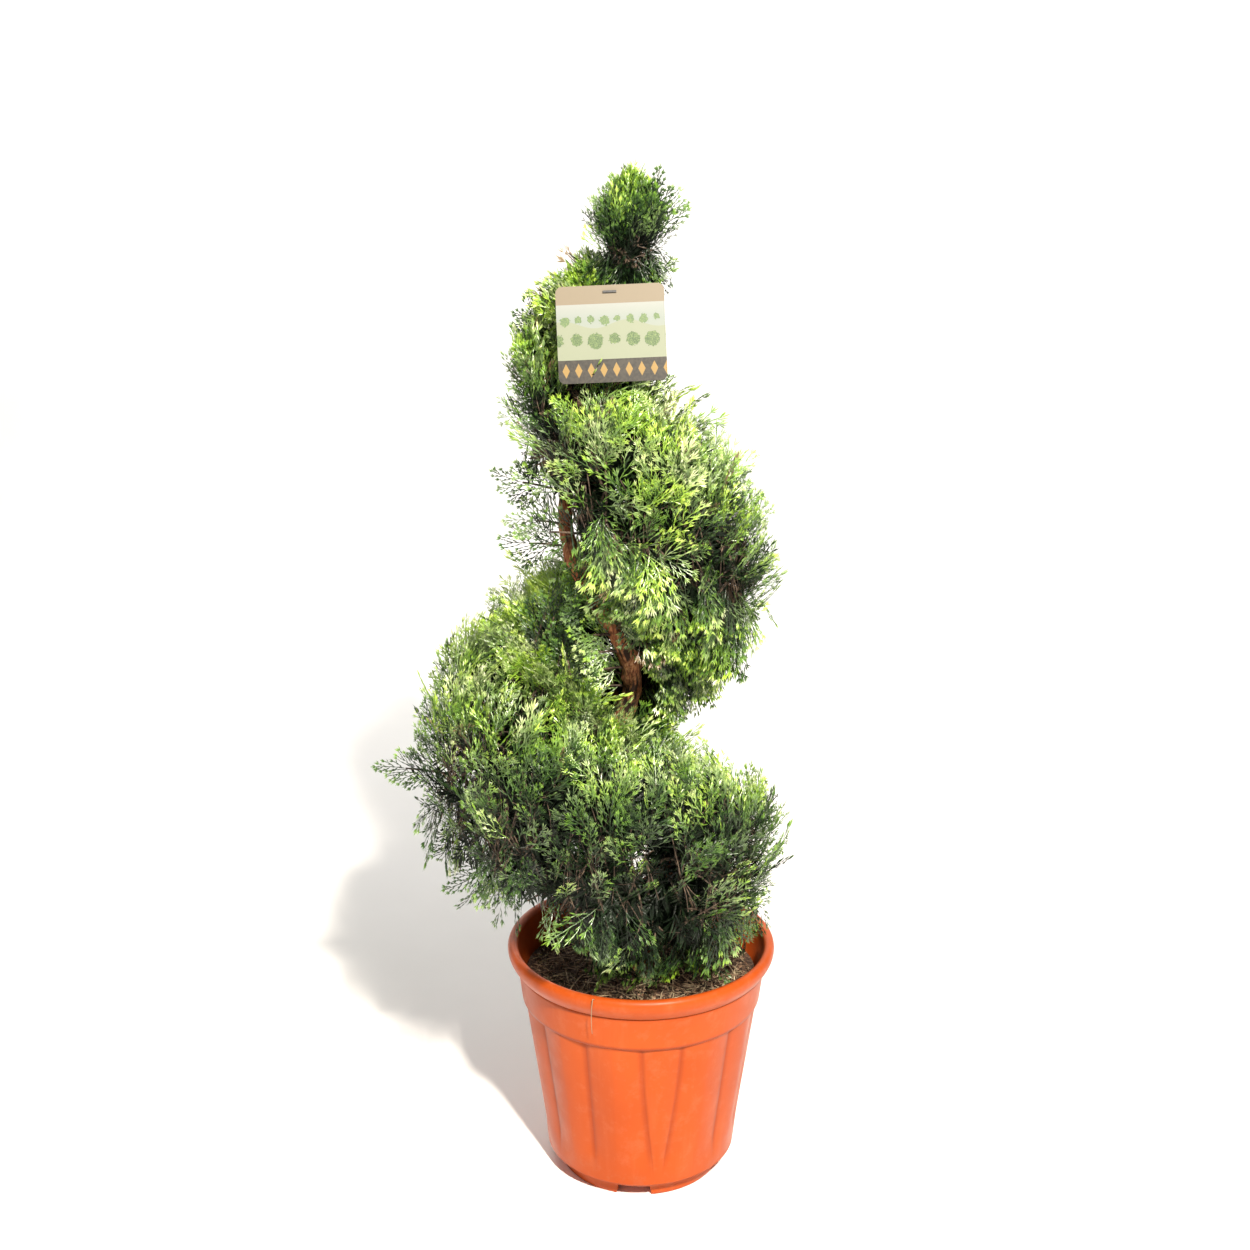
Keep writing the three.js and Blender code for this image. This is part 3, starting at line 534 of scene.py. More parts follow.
def sized(name, turn):
    # a smooth curve through the quarter-turn list (Catmull-Rom)
    values = np.array(ribbon[name], dtype=float)
    at = np.clip((np.asarray(turn, dtype=float) + 0.25) * 4, 0, len(values) - 1.001)
    k = np.floor(at).astype(int)
    t = at - k
    a, b, c, d = (values[np.clip(k + j, 0, len(values) - 1)] for j in (-1, 0, 1, 2))
    return b + t / 2 * (c - a + t * (2 * a - 5 * b + 4 * c - d + t * (3 * (b - c) + d - a)))


def axisX(z):
    # the spiral's axis moves right as it climbs
    return mix(ribbon["axisLow"], ribbon["axisHigh"], smooth(550, 740, z))


def azimuth(turn):
    # clockwise from above, from +x at turn 0
    return -2 * np.pi * turn


def ribbonPoint(turn, out, up):
    # out and up run -1..1 over the section; it is lower towards its outer edge, and its underside
    # draws in towards the trunk, r = inner + half * (1 + out) * (1 - tuck * up^2) for up below 0
    z = sized("centre", turn)
    coreOut = (sized("radius", turn) - ribbon["sprayReach"] - ribbon["innerRadius"]) / 2
    tuck = mix(ribbon["tuckLow"], ribbon["tuckHigh"], smooth(0.5, 0.85, turn))
    r = ribbon["innerRadius"] + coreOut * (1 + out) * (1 - tuck * np.minimum(up, 0) ** 2)
    h = (sized("halfHeight", turn) - ribbon["sprayReach"] * 0.85) * up * (1 - ribbon["taper"] * out)
    a = azimuth(turn)
    return stack(axisX(z) + r * np.cos(a), r * np.sin(a), z + h)


def squared(x):
    # |x|^0.78 with its sign, which fills the corners of an oval a little
    return np.sign(x) * np.abs(x) ** 0.78


def sectionPoint(turn, angle, share=1.0):
    # out = share * squared(cos), up = share * squared(sin)
    return ribbonPoint(turn, share * squared(np.cos(angle)), share * squared(np.sin(angle)))


def massEnds(i):
    # the turns where mass i begins and ends: equal shares of the whole ribbon
    step = (ribbon["last"] - ribbon["first"]) / ribbon["masses"]
    return ribbon["first"] + i * step, ribbon["first"] + (i + 1) * step


def trunkGap(points):
    # distance from each point to the bark, from samples of the trunk every 4 mm
    z = np.arange(trunkShape["foot"], trunkShape["tip"], 4.0)
    centres = trunkPoint(z)
    radii = trunkRadius(z)
    flat = points.reshape(-1, 3)
    near = np.full(len(flat), 1e9)
    for start in range(0, len(flat), 20000):
        part = flat[start : start + 20000]
        away = np.linalg.norm(part[:, None, :] - centres[None], axis=2) - radii[None]
        near[start : start + 20000] = away.min(axis=1)
    return near.reshape(points.shape[:-1])


# ---------- bark ----------
bark = {"around": 56, "rows": 760, "stripDepth": 0.9, "knots": 26, "knotHeight": 3.2}
limb = {"around": 14, "rows": 60, "stripDepth": 0.7, "footRadius": 5.6, "tipRadius": 2.8, "bow": 6}


def barkTube(name, path, radius, around, depth, seedNumber, knots=0):
    # rings square to the path, r = radius + strips + knots; strips are noise stretched along the limb
    along = unit(np.gradient(path, axis=0))
    side = unit(np.array([0.0, 1.0, 0.0]) - along * along[:, 1:2])
    third = np.cross(along, side)
    length = np.concatenate([[0], np.cumsum(np.linalg.norm(np.diff(path, axis=0), axis=1))])
    angle = angles(around)
    wide = radius[:, None]
    x, y, run = np.cos(angle) * wide, np.sin(angle) * wide, np.repeat(length[:, None], around, 1)
    twist = 0.4 * np.sin(length / 60)[:, None] * wide
    strips = noiseAt(x + twist, y, run / 9, 2.6, seedNumber)
    fine = noiseAt(x, y, run / 5, 1.1, seedNumber + 3)
    waves = noiseAt(x / 6, y / 6, run / 6, 3.0, seedNumber + 5)
    scale = np.clip(wide / 10, 0.25, 1.3)
    relief = depth * scale * (np.abs(strips) * 1.3 - 0.5 + 0.3 * fine) + 1.1 * scale * waves
    rng = np.random.default_rng(seedNumber)
    for _ in range(knots):
        at = rng.uniform(0.05, 0.95) * length[-1]
        facing = rng.uniform(0, 2 * np.pi)
        size = rng.uniform(3.5, 7)
        turned = np.angle(np.exp(1j * (angle - facing))) * wide
        relief += bark["knotHeight"] * scale * np.exp(-((run - at) ** 2 / (1.7 * size**2) + turned**2 / size**2))
    r = np.maximum(wide + relief, 0.4)
    points = path[:, None] + side[:, None] * (r * np.cos(angle))[..., None]
    points = points + third[:, None] * (r * np.sin(angle))[..., None]
    values = {"depth": np.append(relief / scale, [0, 0])}
    points = np.concatenate([points.reshape(-1, 3), path[:1], path[-1:]])
    return makePiece(name, points, gridQuads(len(path), around, True)[:, ::-1], poleCaps(len(path), around), values)


def barkMaterial():
    # cedar bark: thin upright strips, red-brown where they have peeled and grey on the outside
    material, tree, shader = newMaterial("cedar_bark")
    strips = noise(tree, 420.0, 5.0, 0.65, (1, 1, 0.14))
    base = ramp(tree, strips, (0.32, "#4a2e1f"), (0.47, "#8c5a3a"), (0.6, "#b4835b"), (0.72, "#c9a582"))
    # painted shade: the bark darkens where its relief sinks lowest, in the cracks between the strips
    crackShade = ramp(tree, calc(tree, "MULTIPLY_ADD", attribute(tree, "depth"), 0.5, 0.5), (0.22, 0.0), (0.45, 1.0))
    dark = blend(tree, crackShade, linear("#2f1d13"), base)
    warm = ramp(tree, noise(tree, 16.0), (0.4, 0.0), (0.6, 0.55))
    tint = blend(tree, warm, dark, linear("#b0683d"), "OVERLAY")
    feed(tree, shader, Base_Color=tint, Roughness=0.86, IOR=1.45, Normal=bump(tree, strips, 0.7, 0.8))
    return material


def growTrunk(material):
    # rows at z = foot + (tip - foot) * t^1.05, a little closer together at the foot
    z = mix(trunkShape["foot"], trunkShape["tip"], np.linspace(0, 1, bark["rows"]) ** 1.05)
    path = trunkPoint(z)
    piece = barkTube("trunk_bark", path, trunkRadius(z), bark["around"], bark["stripDepth"], 4, bark["knots"])
    # cut flat at the soil
    points = np.empty(len(piece.data.vertices) * 3, dtype=np.float32)
    piece.data.vertices.foreach_get("co", points)
    points[2::3] = np.maximum(points[2::3], trunkShape["foot"] * mm)
    piece.data.vertices.foreach_set("co", points)
    settle(piece, material, "bark", "trunk")


def growBough(i, material):
    # from the trunk's middle to the mass's heart, bowed up as a half sine
    middle = sum(massEnds(i)) / 2
    heart = ribbonPoint(middle, 0.0, -0.1)
    z = max(trunkShape["foot"] + 30, heart[2] - 0.35 * float(sized("halfHeight", middle)))
    start = trunkPoint(z)
    t = np.linspace(0, 1, limb["rows"])[:, None]
    bend = start * (1 - t) + heart * t + np.array([0, 0, 1.0]) * (limb["bow"] * np.sin(np.pi * t))
    radius = mix(limb["footRadius"], limb["tipRadius"], t[:, 0])
    piece = barkTube("limb_%02d" % (i + 1), bend, radius, limb["around"], limb["stripDepth"], 30 + i)
    name = "bough_%02d" % (i + 1)
    settle(piece, material, "bark", *([name] if name in nodes else []))


barkSkin = barkMaterial()
growTrunk(barkSkin)
for massIndex in range(ribbon["masses"]):
    growBough(massIndex, barkSkin)
print("trunk and boughs")


# ---------- soil ----------
soil = {
    "radius": 138.0,
    "mound": 5.0,
    "rings": 150,
    "around": 320,
    "deep": 40.0,
    "needles": 1700,
    "crumbs": 3600,
    "roots": 260,
    "needleHalf": (3, 11),
    "crumbSize": (0.9, 3.2),
    "rootHalf": (12, 34),
    "edge": 132.0,  # how far out the litter lies
}


def soilHeight(x, y):
    # a low mound plus three sizes of noise
    r = np.hypot(x, y)
    lumps = 2.6 * noiseAt(x, y, 0, 26, 1) + 2.2 * noiseAt(x, y, 0, 9, 2) + 1.2 * noiseAt(x, y, 0, 3.6, 3)
    return soilTop - 1.5 - soil["mound"] * smooth(26, 135, r) + lumps * smooth(16, 30, r)


def growSoil():
    # rings at r = radius * t^0.8, then sides drawn in to a flat underside
    t = np.linspace(0, 1, soil["rings"] + 1)[1:, None]
    a = angles(soil["around"])
    x, y = (soil["radius"] * t**0.8 * turned for turned in (np.cos(a), np.sin(a)))
    foot = soilTop - soil["deep"]
    top = stack(x, y, soilHeight(x, y)).reshape(-1, 3)
    skirt = stack(x[-1] * 0.97, y[-1] * 0.97, foot)
    points = np.concatenate([top, skirt, [[0, 0, soilTop - 1.5], [0, 0, foot]]])
    rows = soil["rings"] + 1
    quads = gridQuads(rows, soil["around"], True)[:, ::-1]
    return makePiece("soil_top", points, quads, poleCaps(rows, soil["around"])[:, ::-1])


def soilMaterial():
    # peat and bark fibre: near black when moist, with brown crumbs; very rough, with deep grain
    material, tree, shader = newMaterial("potting_compost")
    grain = noise(tree, 260.0, 6.0, 0.7)
    base = ramp(tree, grain, (0.32, "#1a120c"), (0.5, "#453022"), (0.62, "#72533c"), (0.74, "#a88763"))
    damp = blend(tree, ramp(tree, noise(tree, 22.0), (0.4, 0.0), (0.65, 0.45)), base, linear("#261a11"))
    feed(tree, shader, Base_Color=damp, Roughness=0.95, Normal=bump(tree, grain, 1.0, 2.5))
    return material


def litterMaterial(name, *colours):
    # dry plant scraps: matt, each with its own place in a row of straw and bark colours
    material, tree, shader = newMaterial(name)
    stops = [(k / (len(colours) - 1), colour) for k, colour in enumerate(colours)]
    base = ramp(tree, attribute(tree, "tone"), *stops)
    worn = blend(tree, times(tree, noise(tree, 500.0), 0.5), base, linear("#3a281c"))
    feed(tree, shader, Base_Color=worn, Roughness=0.8, Normal=bump(tree, noise(tree, 900.0), 0.4, 0.3))
    return material


def tubes(ends, radii, sides, rings):
    # many thin limbs at once: P(t) = (1-t)^2 a + 2t(1-t) b + t^2 c, radius from radii[0] to radii[1]
    a, b, c = ends
    n = len(a)
    t = np.linspace(0, 1, rings)[None, :, None]
    path = (1 - t) ** 2 * a[:, None] + 2 * t * (1 - t) * b[:, None] + t**2 * c[:, None]
    along = unit(2 * (1 - t) * (b - a)[:, None] + 2 * t * (c - b)[:, None] + 1e-6)
    guide = np.where(np.abs(along[..., 2:3]) > 0.8, [[[1.0, 0, 0]]], [[[0, 0, 1.0]]])
    side = unit(np.cross(guide, along))
    third = np.cross(along, side)
    first, last = (np.reshape(w, (-1, 1, 1)) + np.zeros((n, 1, 1)) for w in radii)
    r = mix(first, last, t)
    angle = angles(sides)[None, None, :, None]
    ring = side[:, :, None] * np.cos(angle) + third[:, :, None] * np.sin(angle)
    points = path[:, :, None] + r[:, :, None] * ring
    block = np.concatenate([points.reshape(n, -1, 3), path[:, :1], path[:, -1:]], axis=1)
    step = rings * sides + 2
    return block, repeated(gridQuads(rings, sides, True), n, step), repeated(poleCaps(rings, sides), n, step)


def scatterOnSoil(rng, count, nearRadius, farRadius):
    # even over the ring: r = sqrt(uniform between the squares)
    r = np.sqrt(rng.uniform(nearRadius**2, farRadius**2, count))
    a = rng.uniform(0, 2 * np.pi, count)
    x, y = r * np.cos(a), r * np.sin(a)
    return stack(x, y, soilHeight(x, y))


def litterTubes(name, ends, radii, sides, rings, tone, material, smoothFaces=True):
    # tubes as one piece, with one tone each
    block, quads, tris = tubes(ends, radii, sides, rings)
    values = {"tone": np.repeat(tone, block.shape[1])}
    settle(makePiece(name, block.reshape(-1, 3), quads, tris, values, smoothFaces), material, "soil")


def growLitter():
    rng = np.random.default_rng(5)
    straw = litterMaterial("dry_needles", "#33251a", "#54402e", "#7f664d", "#cdb896", "#6c6844")
    count = soil["needles"]
    middle = scatterOnSoil(rng, count, 20, soil["edge"] - 1)
    turn = rng.uniform(0, 2 * np.pi, count)
    half = rng.uniform(*soil["needleHalf"], count) * rng.uniform(0.5, 1, count)
    tilt = rng.normal(0, 0.22, count)
    along = stack(np.cos(turn), np.sin(turn), tilt) * half[:, None]
    lift = stack(0, 0, rng.uniform(0.4, 3.2, count))
    b = middle + lift + rng.normal(0, 1.2, (count, 3)) + [0, 0, 0.8]
    size = rng.uniform(0.35, 0.85, count)
    ends = middle - along + lift, b, middle + along + lift
    litterTubes("soil_needles", ends, (size, size * 0.6), 4, 3, rng.uniform(0, 1, count) ** 1.2, straw, False)

    # crumbs: eight-faced lumps with jittered corners
    count = soil["crumbs"]
    middle = scatterOnSoil(rng, count, 20, soil["edge"])
    corners = np.array([[1, 0, 0], [-1, 0, 0], [0, 1, 0], [0, -1, 0], [0, 0, 1], [0, 0, -1]], float)
    faces = np.array([[0, 2, 4], [2, 1, 4], [1, 3, 4], [3, 0, 4], [2, 0, 5], [1, 2, 5], [3, 1, 5], [0, 3, 5]])
    size = rng.uniform(*soil["crumbSize"], (count, 1, 1))
    points = middle[:, None] + corners[None] * size * rng.uniform(0.55, 1.2, (count, 6, 1))
    tone = np.repeat(rng.uniform(0, 1, count), 6)
    crumbs = makePiece("soil_crumbs", points.reshape(-1, 3), None, repeated(faces, count, 6), {"tone": tone}, False)
    settle(crumbs, litterMaterial("peat_crumbs", "#120c08", "#2a1c13", "#4a3424", "#7f5e45", "#c4a488"), "soil")

    # fine roots and dead twigs that arch over the soil
    count = soil["roots"]
    middle = scatterOnSoil(rng, count, 25, soil["edge"] - 14)
    turn = rng.uniform(0, 2 * np.pi, count)
    along = stack(np.cos(turn), np.sin(turn), 0) * rng.uniform(*soil["rootHalf"], count)[:, None]
    a, c = middle - along, middle + along
    for end, above in ((a, 0.5), (c, 0.8)):
        end[:] = np.where(np.hypot(end[:, 0], end[:, 1])[:, None] > soil["edge"], middle, end)
        end[:, 2] = soilHeight(end[:, 0], end[:, 1]) + above
    b = middle + stack(rng.normal(0, 7, count), rng.normal(0, 7, count), rng.uniform(2, 16, count))
    radii = rng.uniform(0.5, 1.1, count), np.full(count, 0.35)
    litterTubes("soil_roots", (a, b, c), radii, 5, 8, rng.uniform(0.2, 0.9, count), straw)

    # one pale hair root lies over the front of the rim and hangs down to the band
    a, b, c = (-44, -112, soilTop + 3), (-51, -146, potTop - 2), (-54, -154, potTop + 1)
    stray = np.array([a, b, c, (-57, -153, potTop - 22), (-55, -146, 246)])
    ends = stray[[0, 2]], stray[[1, 3]], stray[[2, 4]]
    litterTubes("stray_root", ends, ([0.6, 0.5], [0.5, 0.35]), 5, 16, [0.6, 0.6], straw)


earth = soilMaterial()
settle(growSoil(), earth, "soil", "soil")
settle(drainDiscs(), earth, "soil")
growLitter()
print("soil and litter")


# ---------- foliage ----------
leaf = {
    "kinds": 8,  # how many different sprays there are
    "hangKinds": 3,  # and how many long ones, for the underside
    "width": 1.7,  # across one scale-leaf finger
    "hangWidth": 2.5,  # the same on the hanging sprays
    "loneWidth": 2.9,  # and on shoots that stand alone
    "rows": 5,  # of shoots up a mass's section
    "columns": 4,  # and along it
    "twigsPerShoot": 4,
    "spraysPerTwig": 7,
    "innerPerTwig": 11,  # coarse shaded sprays under the outer ones
    "innerSize": 0.8,  # their length as a share of the outer ones'
    "reach": 27.0,  # how far tips stand outside the surface
    "dry": {8: 0.03, 9: 0.04, 10: 0.03},  # share of dead sprays, by mass
    "dryElse": 0.006,
    # painted shade and light added to the tone, by mass: darker low and in front, then lighter on top
    "shade": [-0.11, -0.17, -0.16, -0.08, 0, 0.02, 0.04, 0.06, 0.09, 0.11, 0.12, 0.11],
    # painted sunlight added to the tone on the upper side of these masses
    "lime": {3: 0.15, 4: 0.26, 5: 0.1, 8: 0.06, 9: 0.1, 10: 0.12},
    "shootRadii": (2.3, 1.5),  # at the heart and at the end
    "twigRadii": (1.5, 1.0),
    "stalkRadii": (0.75, 0.55),
    "seed": 23,
}
# what a spray's tone is made of, see growMass: up, rise, depth, loose and crest are painted light and shade, drift and
# scatter the leaves' own variation, and shaded is the top tone of the inner sprays
toneShare = {
    "base": 0.44,
    "up": 0.14,
    "rise": 0.05,
    "depth": 2.2,
    "drift": 0.14,
    "loose": 0.15,
    "crest": 0.03,
    "scatter": 0.2,
    "shaded": 0.16,
}
# shoots that the shears have missed: turn, angle on the section, direction, reach
wildShoots = [
    (0.497, -8, (-1, 0.05, 0.12), 34),
    (0.44, -52, (-0.86, -0.1, -0.5), 26),
    (0.47, -38, (-0.75, 0.1, -0.66), 22),
    (0.48, -72, (-0.45, 0.1, -0.9), 40),
    (0.53, -82, (-0.22, 0.25, -0.95), 74),
    (-0.06, -28, (0.95, 0.1, 0.04), 24),
    (1.36, -66, (-0.95, -0.1, 0.1), 26),
    (1.5, 60, (-0.5, 0.1, 0.85), 8),
    # over the right of the rim, and rising in front of the trunk between the first turn and the second
    (-0.02, -52, (0.8, -0.3, -0.5), 30),
    (0.06, -66, (0.7, -0.5, -0.5), 30),
    (0.33, 118, (-0.1, -0.1, 1), 36),
    (0.37, 112, (0.2, -0.1, 1), 46),
    (0.42, 108, (0.3, -0.05, 1), 54),
    (0.47, 108, (0.35, 0, 1), 44),
]
# shoots of the trunk's own: height on it, direction, reach, tone
trunkShoots = [
    (838, (-1, -0.25, 0.3), 52, 0.42),
    (806, (-1, -0.3, 0.2), 34, 0.7),
    (784, (-1, -0.1, 0.1), 46, 0.2),
    (610, (-1, -0.5, 0.2), 34, 0.9),
    (624, (-1, -0.3, 0.4), 40, 0.8),
    (640, (-1, -0.6, 0.1), 38, 0.95),
    (662, (-1, -0.7, 0.2), 36, 0.8),
    (672, (0.9, -0.8, 0.3), 34, 0.5),
    (684, (-0.9, -0.9, 0.3), 38, 0.75),
    (690, (0.3, -1, 0.6), 36, 0.6),
    (700, (0.5, -1, 0.5), 34, 0.55),
    (716, (-0.6, -1, 0.4), 36, 0.45),
    (732, (0.4, -1, 0.3), 34, 0.8),
    (748, (-0.3, -1, 0.25), 32, 0.5),
    (764, (0.5, -1, -0.2), 30, 0.6),
]


def kitesToMesh(kites, rng, bend):
    # each row is base x, base y, heading, length, width, tip value; a finger is a kite of two faces whose
    # side corners are turned down, z = -0.35 +- tilt, and the whole fan is cupped, z -= bend * (x^2 + 3 y^2)
    x, y, heading, size, width, tip = np.array(kites, dtype=float).T
    forward = np.stack([np.cos(heading), np.sin(heading)], 1)
    across = np.stack([-np.sin(heading), np.cos(heading)], 1) * (width / 2)[:, None]
    base = np.stack([x, y], 1)
    wide = base + forward * (size * 0.55)[:, None]
    flat = np.stack([base, wide + across, base + forward * size[:, None], wide - across], 1)
    tilt = rng.normal(0, 0.5, len(size))
    off = np.stack([0 * tilt, -0.35 + tilt, 0.3 * tilt, -0.35 - tilt], 1)
    cup = -bend * (flat[..., 0] ** 2 + 3 * flat[..., 1] ** 2)
    points = np.concatenate([flat, (off + cup)[..., None]], 2).reshape(-1, 3)
    faces = np.array([[0, 2, 1], [0, 3, 2]])[None] + (np.arange(len(size)) * 4)[:, None, None]
    tips = np.stack([tip - 0.15, tip, tip + 0.2, tip], 1).reshape(-1)
    return {"points": points, "faces": faces.reshape(-1, 3), "tip": np.clip(tips, 0, 1)}


fingerTurns = (-0.34, 0.0, 0.34)  # of the three fingers at a branchlet's end


def sprayKind(number, width):
    # one flat fan in its own plane: x along the stalk, y across it, bowed as y = bow * x^2 / length. Long
    # branchlets leave the stalk left and right by turns and bend forward until they run beside it; thin
    # fingers fork off them the same way.
    rng = np.random.default_rng(leaf["seed"] + number)
    length = 64.0 + 5.0 * (number % 4)
    branchlets, stages = 6, 4
    bow = rng.uniform(-0.3, 0.3)
    kites = []
    for s in np.arange(stages) / stages:
        heading = math.atan(2 * bow * s)
        kites.append((length * s, bow * length * s * s, heading, length / stages * 1.4, width, 0.1 + 0.3 * s))
    for j in range(branchlets + 1):
        s = 0.12 + 0.8 * j / branchlets
        side = 1 if (j + number) % 2 else -1
        heading = math.atan(2 * bow * s)
        lean = side * math.radians(mix(46, 22, s) + rng.uniform(-7, 7))
        reach = length * mix(0.46, 0.16, s) * rng.uniform(0.8, 1.15)
        if j == branchlets:
            lean, reach = 0.0, length * 0.1
        place = np.array([length * s, bow * length * s * s])
        steps = 3 if s < 0.5 else 2
        for k in range(steps):
            angle = heading + lean * (1 - 0.3 * k)
            tip = mix(0.2, 0.45, s) + 0.1 * k
            kites.append((*place, angle, reach / steps * 1.45, width, tip))
            place = place + reach / steps * np.array([math.cos(angle), math.sin(angle)])
            fork = angle + (side if k % 2 else -side) * rng.uniform(0.4, 0.62)
            kites.append((*place, fork, rng.uniform(8.0, 12.0), width * 0.9, tip + 0.15))
        for turn in fingerTurns:
            size = rng.uniform(11.0, 15.0) * (1.0 if turn == 0 else 0.8)
            end = heading + lean * 0.35 + turn + rng.uniform(-0.06, 0.06)
            kites.append((*place, end, size, width * 0.9, mix(0.55, 0.75, s)))
    return {**kitesToMesh(kites, rng, 0.0018 * rng.uniform(0.3, 1.2)), "length": length * 1.12}


def hangKind(number, width):
    # a long loose spray: five smooth threads that part slowly from the stalk, each forked like a hand
    rng = np.random.default_rng(leaf["seed"] + 90 + number)
    length = 74.0 + 6.0 * number
    kites = [(length * 0.2 * k, 0, 0.0, length * 0.28, width, 0.08 + 0.05 * k) for k in range(3)]
    threads, steps = 5, 3
    for j in range(threads):
        s = 0.06 + 0.5 * j / (threads - 1)
        side = 1 if (j + number) % 2 else -1
        lean = side * math.radians(mix(30, 9, s) + rng.uniform(-4, 4))
        place = np.array([length * s, 0.0])
        reach = length * (0.98 - s) * rng.uniform(0.75, 1.0) - 12
        for k in range(steps):
            angle = lean * (1 - 0.3 * k)
            kites.append((*place, angle, reach / steps * 1.4, width, 0.1 + 0.13 * k))
            place = place + reach / steps * np.array([math.cos(angle), math.sin(angle)])
        kites.append((*place, angle + side * 0.5, rng.uniform(7, 9), width * 0.9, 0.7))
        for turn in fingerTurns:
            end = lean * 0.3 + turn + rng.uniform(-0.08, 0.08)
            kites.append((*place, end, rng.uniform(10, 15), width * 0.9, 0.85))
    return {**kitesToMesh(kites, rng, 0.0014 * rng.uniform(0.3, 1.2)), "length": length}


def innerKind(number):
    # a coarse fan for the shade: a stalk with twelve long branchlets and no fingers
    rng = np.random.default_rng(leaf["seed"] + 50 + number)
    width, branchlets = 3.4, 12
    kites = [(0, 0, 0.0, 30, 3.0, 0.1), (26, 0, 0.0, 28, width, 0.25)]
    for j in range(branchlets):
        s = 0.12 + 0.75 * j / (branchlets - 1)
        lean = (1 if j % 2 else -1) * math.radians(mix(52, 26, s)) + rng.uniform(-0.15, 0.15)
        kites.append((48 * s, 0, lean, 26 * (1.15 - 0.5 * s), width, 0.2 + 0.2 * rng.random()))
    return {**kitesToMesh(kites, rng, 0.002), "length": 54.0}


def placeSprays(kinds, root, along, normal, length, kindNumber):
    # P = root + s (x along + y across + z normal), s = wanted length / the kind's own length
    allPoints, allFaces, tips, owners = [], [], [], []
    start = 0
    across = np.cross(normal, along)
    for number, kind in enumerate(kinds):
        mine = np.where(kindNumber == number)[0]
        if not len(mine):
            continue
        scale = (length[mine] / kind["length"])[:, None, None]
        p = kind["points"][None]
        axes = [w[mine, None] for w in (along, across, normal)]
        block = root[mine, None] + scale * sum(p[..., k : k + 1] * axes[k] for k in range(3))
        faces = kind["faces"][None] + (start + np.arange(len(mine)) * p.shape[1])[:, None, None]
        start += len(mine) * p.shape[1]
        allPoints.append(block.reshape(-1, 3))
        allFaces.append(faces.reshape(-1, 3))
        tips.append(np.tile(kind["tip"], len(mine)))
        owners.append(np.repeat(mine, p.shape[1]))
    return np.concatenate(allPoints), np.concatenate(allFaces), np.concatenate(tips), np.concatenate(owners)


# where the trunk shows between the sprays: low and high end on it, the slope at which the opening
# leaves it towards the front, and how far it drifts to the right on the way
trunkWindows = [(768, 832, 0.26, 0.04), (604, 656, 0.36, 0.01)]
clearance = {
    "window": 13.0,
    "trunk": 3.0,
    "soil": 12.0,
    "rim": 3.0,
    "card": 5.0,
    # left of the trunk the soil lies bare: where, from none to full, and how far the sprays draw up
    "bareX": (-42, -88),
    "bareFar": (-185, -155),
    "bareY": (70, 0),
    "bareRise": 84,
    # and the space there is open up to the second turn, and half open a little further
    "openBeside": 12,
    "openY": 45,
    "openZ": (748, 845, 905),
}


def inWindow(points):
    # near the sheet z = trunk z + slope * ahead, x = trunk x + drift * ahead
    inside = np.zeros(points.shape[:-1], bool)
    for low, high, slope, drift in trunkWindows:
        ahead = trunkPoint((low + high) / 2)[1] - points[..., 1]
        z = points[..., 2] - slope * ahead
        off = points[..., 0] - drift * ahead - trunkPoint(z)[..., 0]
        inside |= (ahead > -5) & (z > low) & (z < high) & (np.abs(off) < clearance["window"])
    return inside


def keepClear(root, tip):
    # True where a spray stays off the trunk, the card, the pot and the soil
    own = clearance
    samples = root[:, None] + (tip - root)[:, None] * np.array([0.35, 0.6, 0.8, 1.0])[None, :, None]
    clear = trunkGap(samples).min(axis=1) > own["trunk"]
    x, y, z = np.moveaxis(samples, -1, 0)
    r = np.hypot(x, y)
    inMouth = r < pot["mouthRadius"] - 4
    bare = smooth(*own["bareX"], x) * smooth(*own["bareFar"], x) * smooth(*own["bareY"], y)
    skirt = mix(np.where(inMouth, soilTop + own["soil"], potTop + own["rim"]), potTop + own["bareRise"], bare)
    overPot = (z > skirt) | ((r > pot["rimRadius"] + 4) & (bare < 0.3))
    # the card's plane leans forward as it goes down, y = topY - down * tan(tilt)
    down = card["topZ"] - z
    plane = card["topY"] - down * math.tan(math.radians(card["tilt"]))
    beside = np.abs(x - card["x"]) < card["width"] / 2 + 4
    inCard = (down > -10) & (down < card["height"] + 4) & beside
    free = ~(inCard & (y < plane + own["card"])) & ~inWindow(samples)
    x, y, z = tip.T
    low, high, highest = own["openZ"]
    beside = (x < trunkPoint(z)[:, 0] - own["openBeside"]) & (y < own["openY"])
    bare = beside & (z > low) & (z < mix(high, highest, noiseAt(x, y, z, 26, 4) > 0.1))
    return clear & overPot.all(axis=1) & free.all(axis=1) & ~bare


def rollNormal(along, facing, roll):
    # the fan's normal: the facing direction squared to the stalk, then turned about it by roll
    n = unit(facing - along * np.sum(facing * along, axis=1, keepdims=True))
    side = np.cross(n, along)
    return n * np.cos(roll)[:, None] + side * np.sin(roll)[:, None]


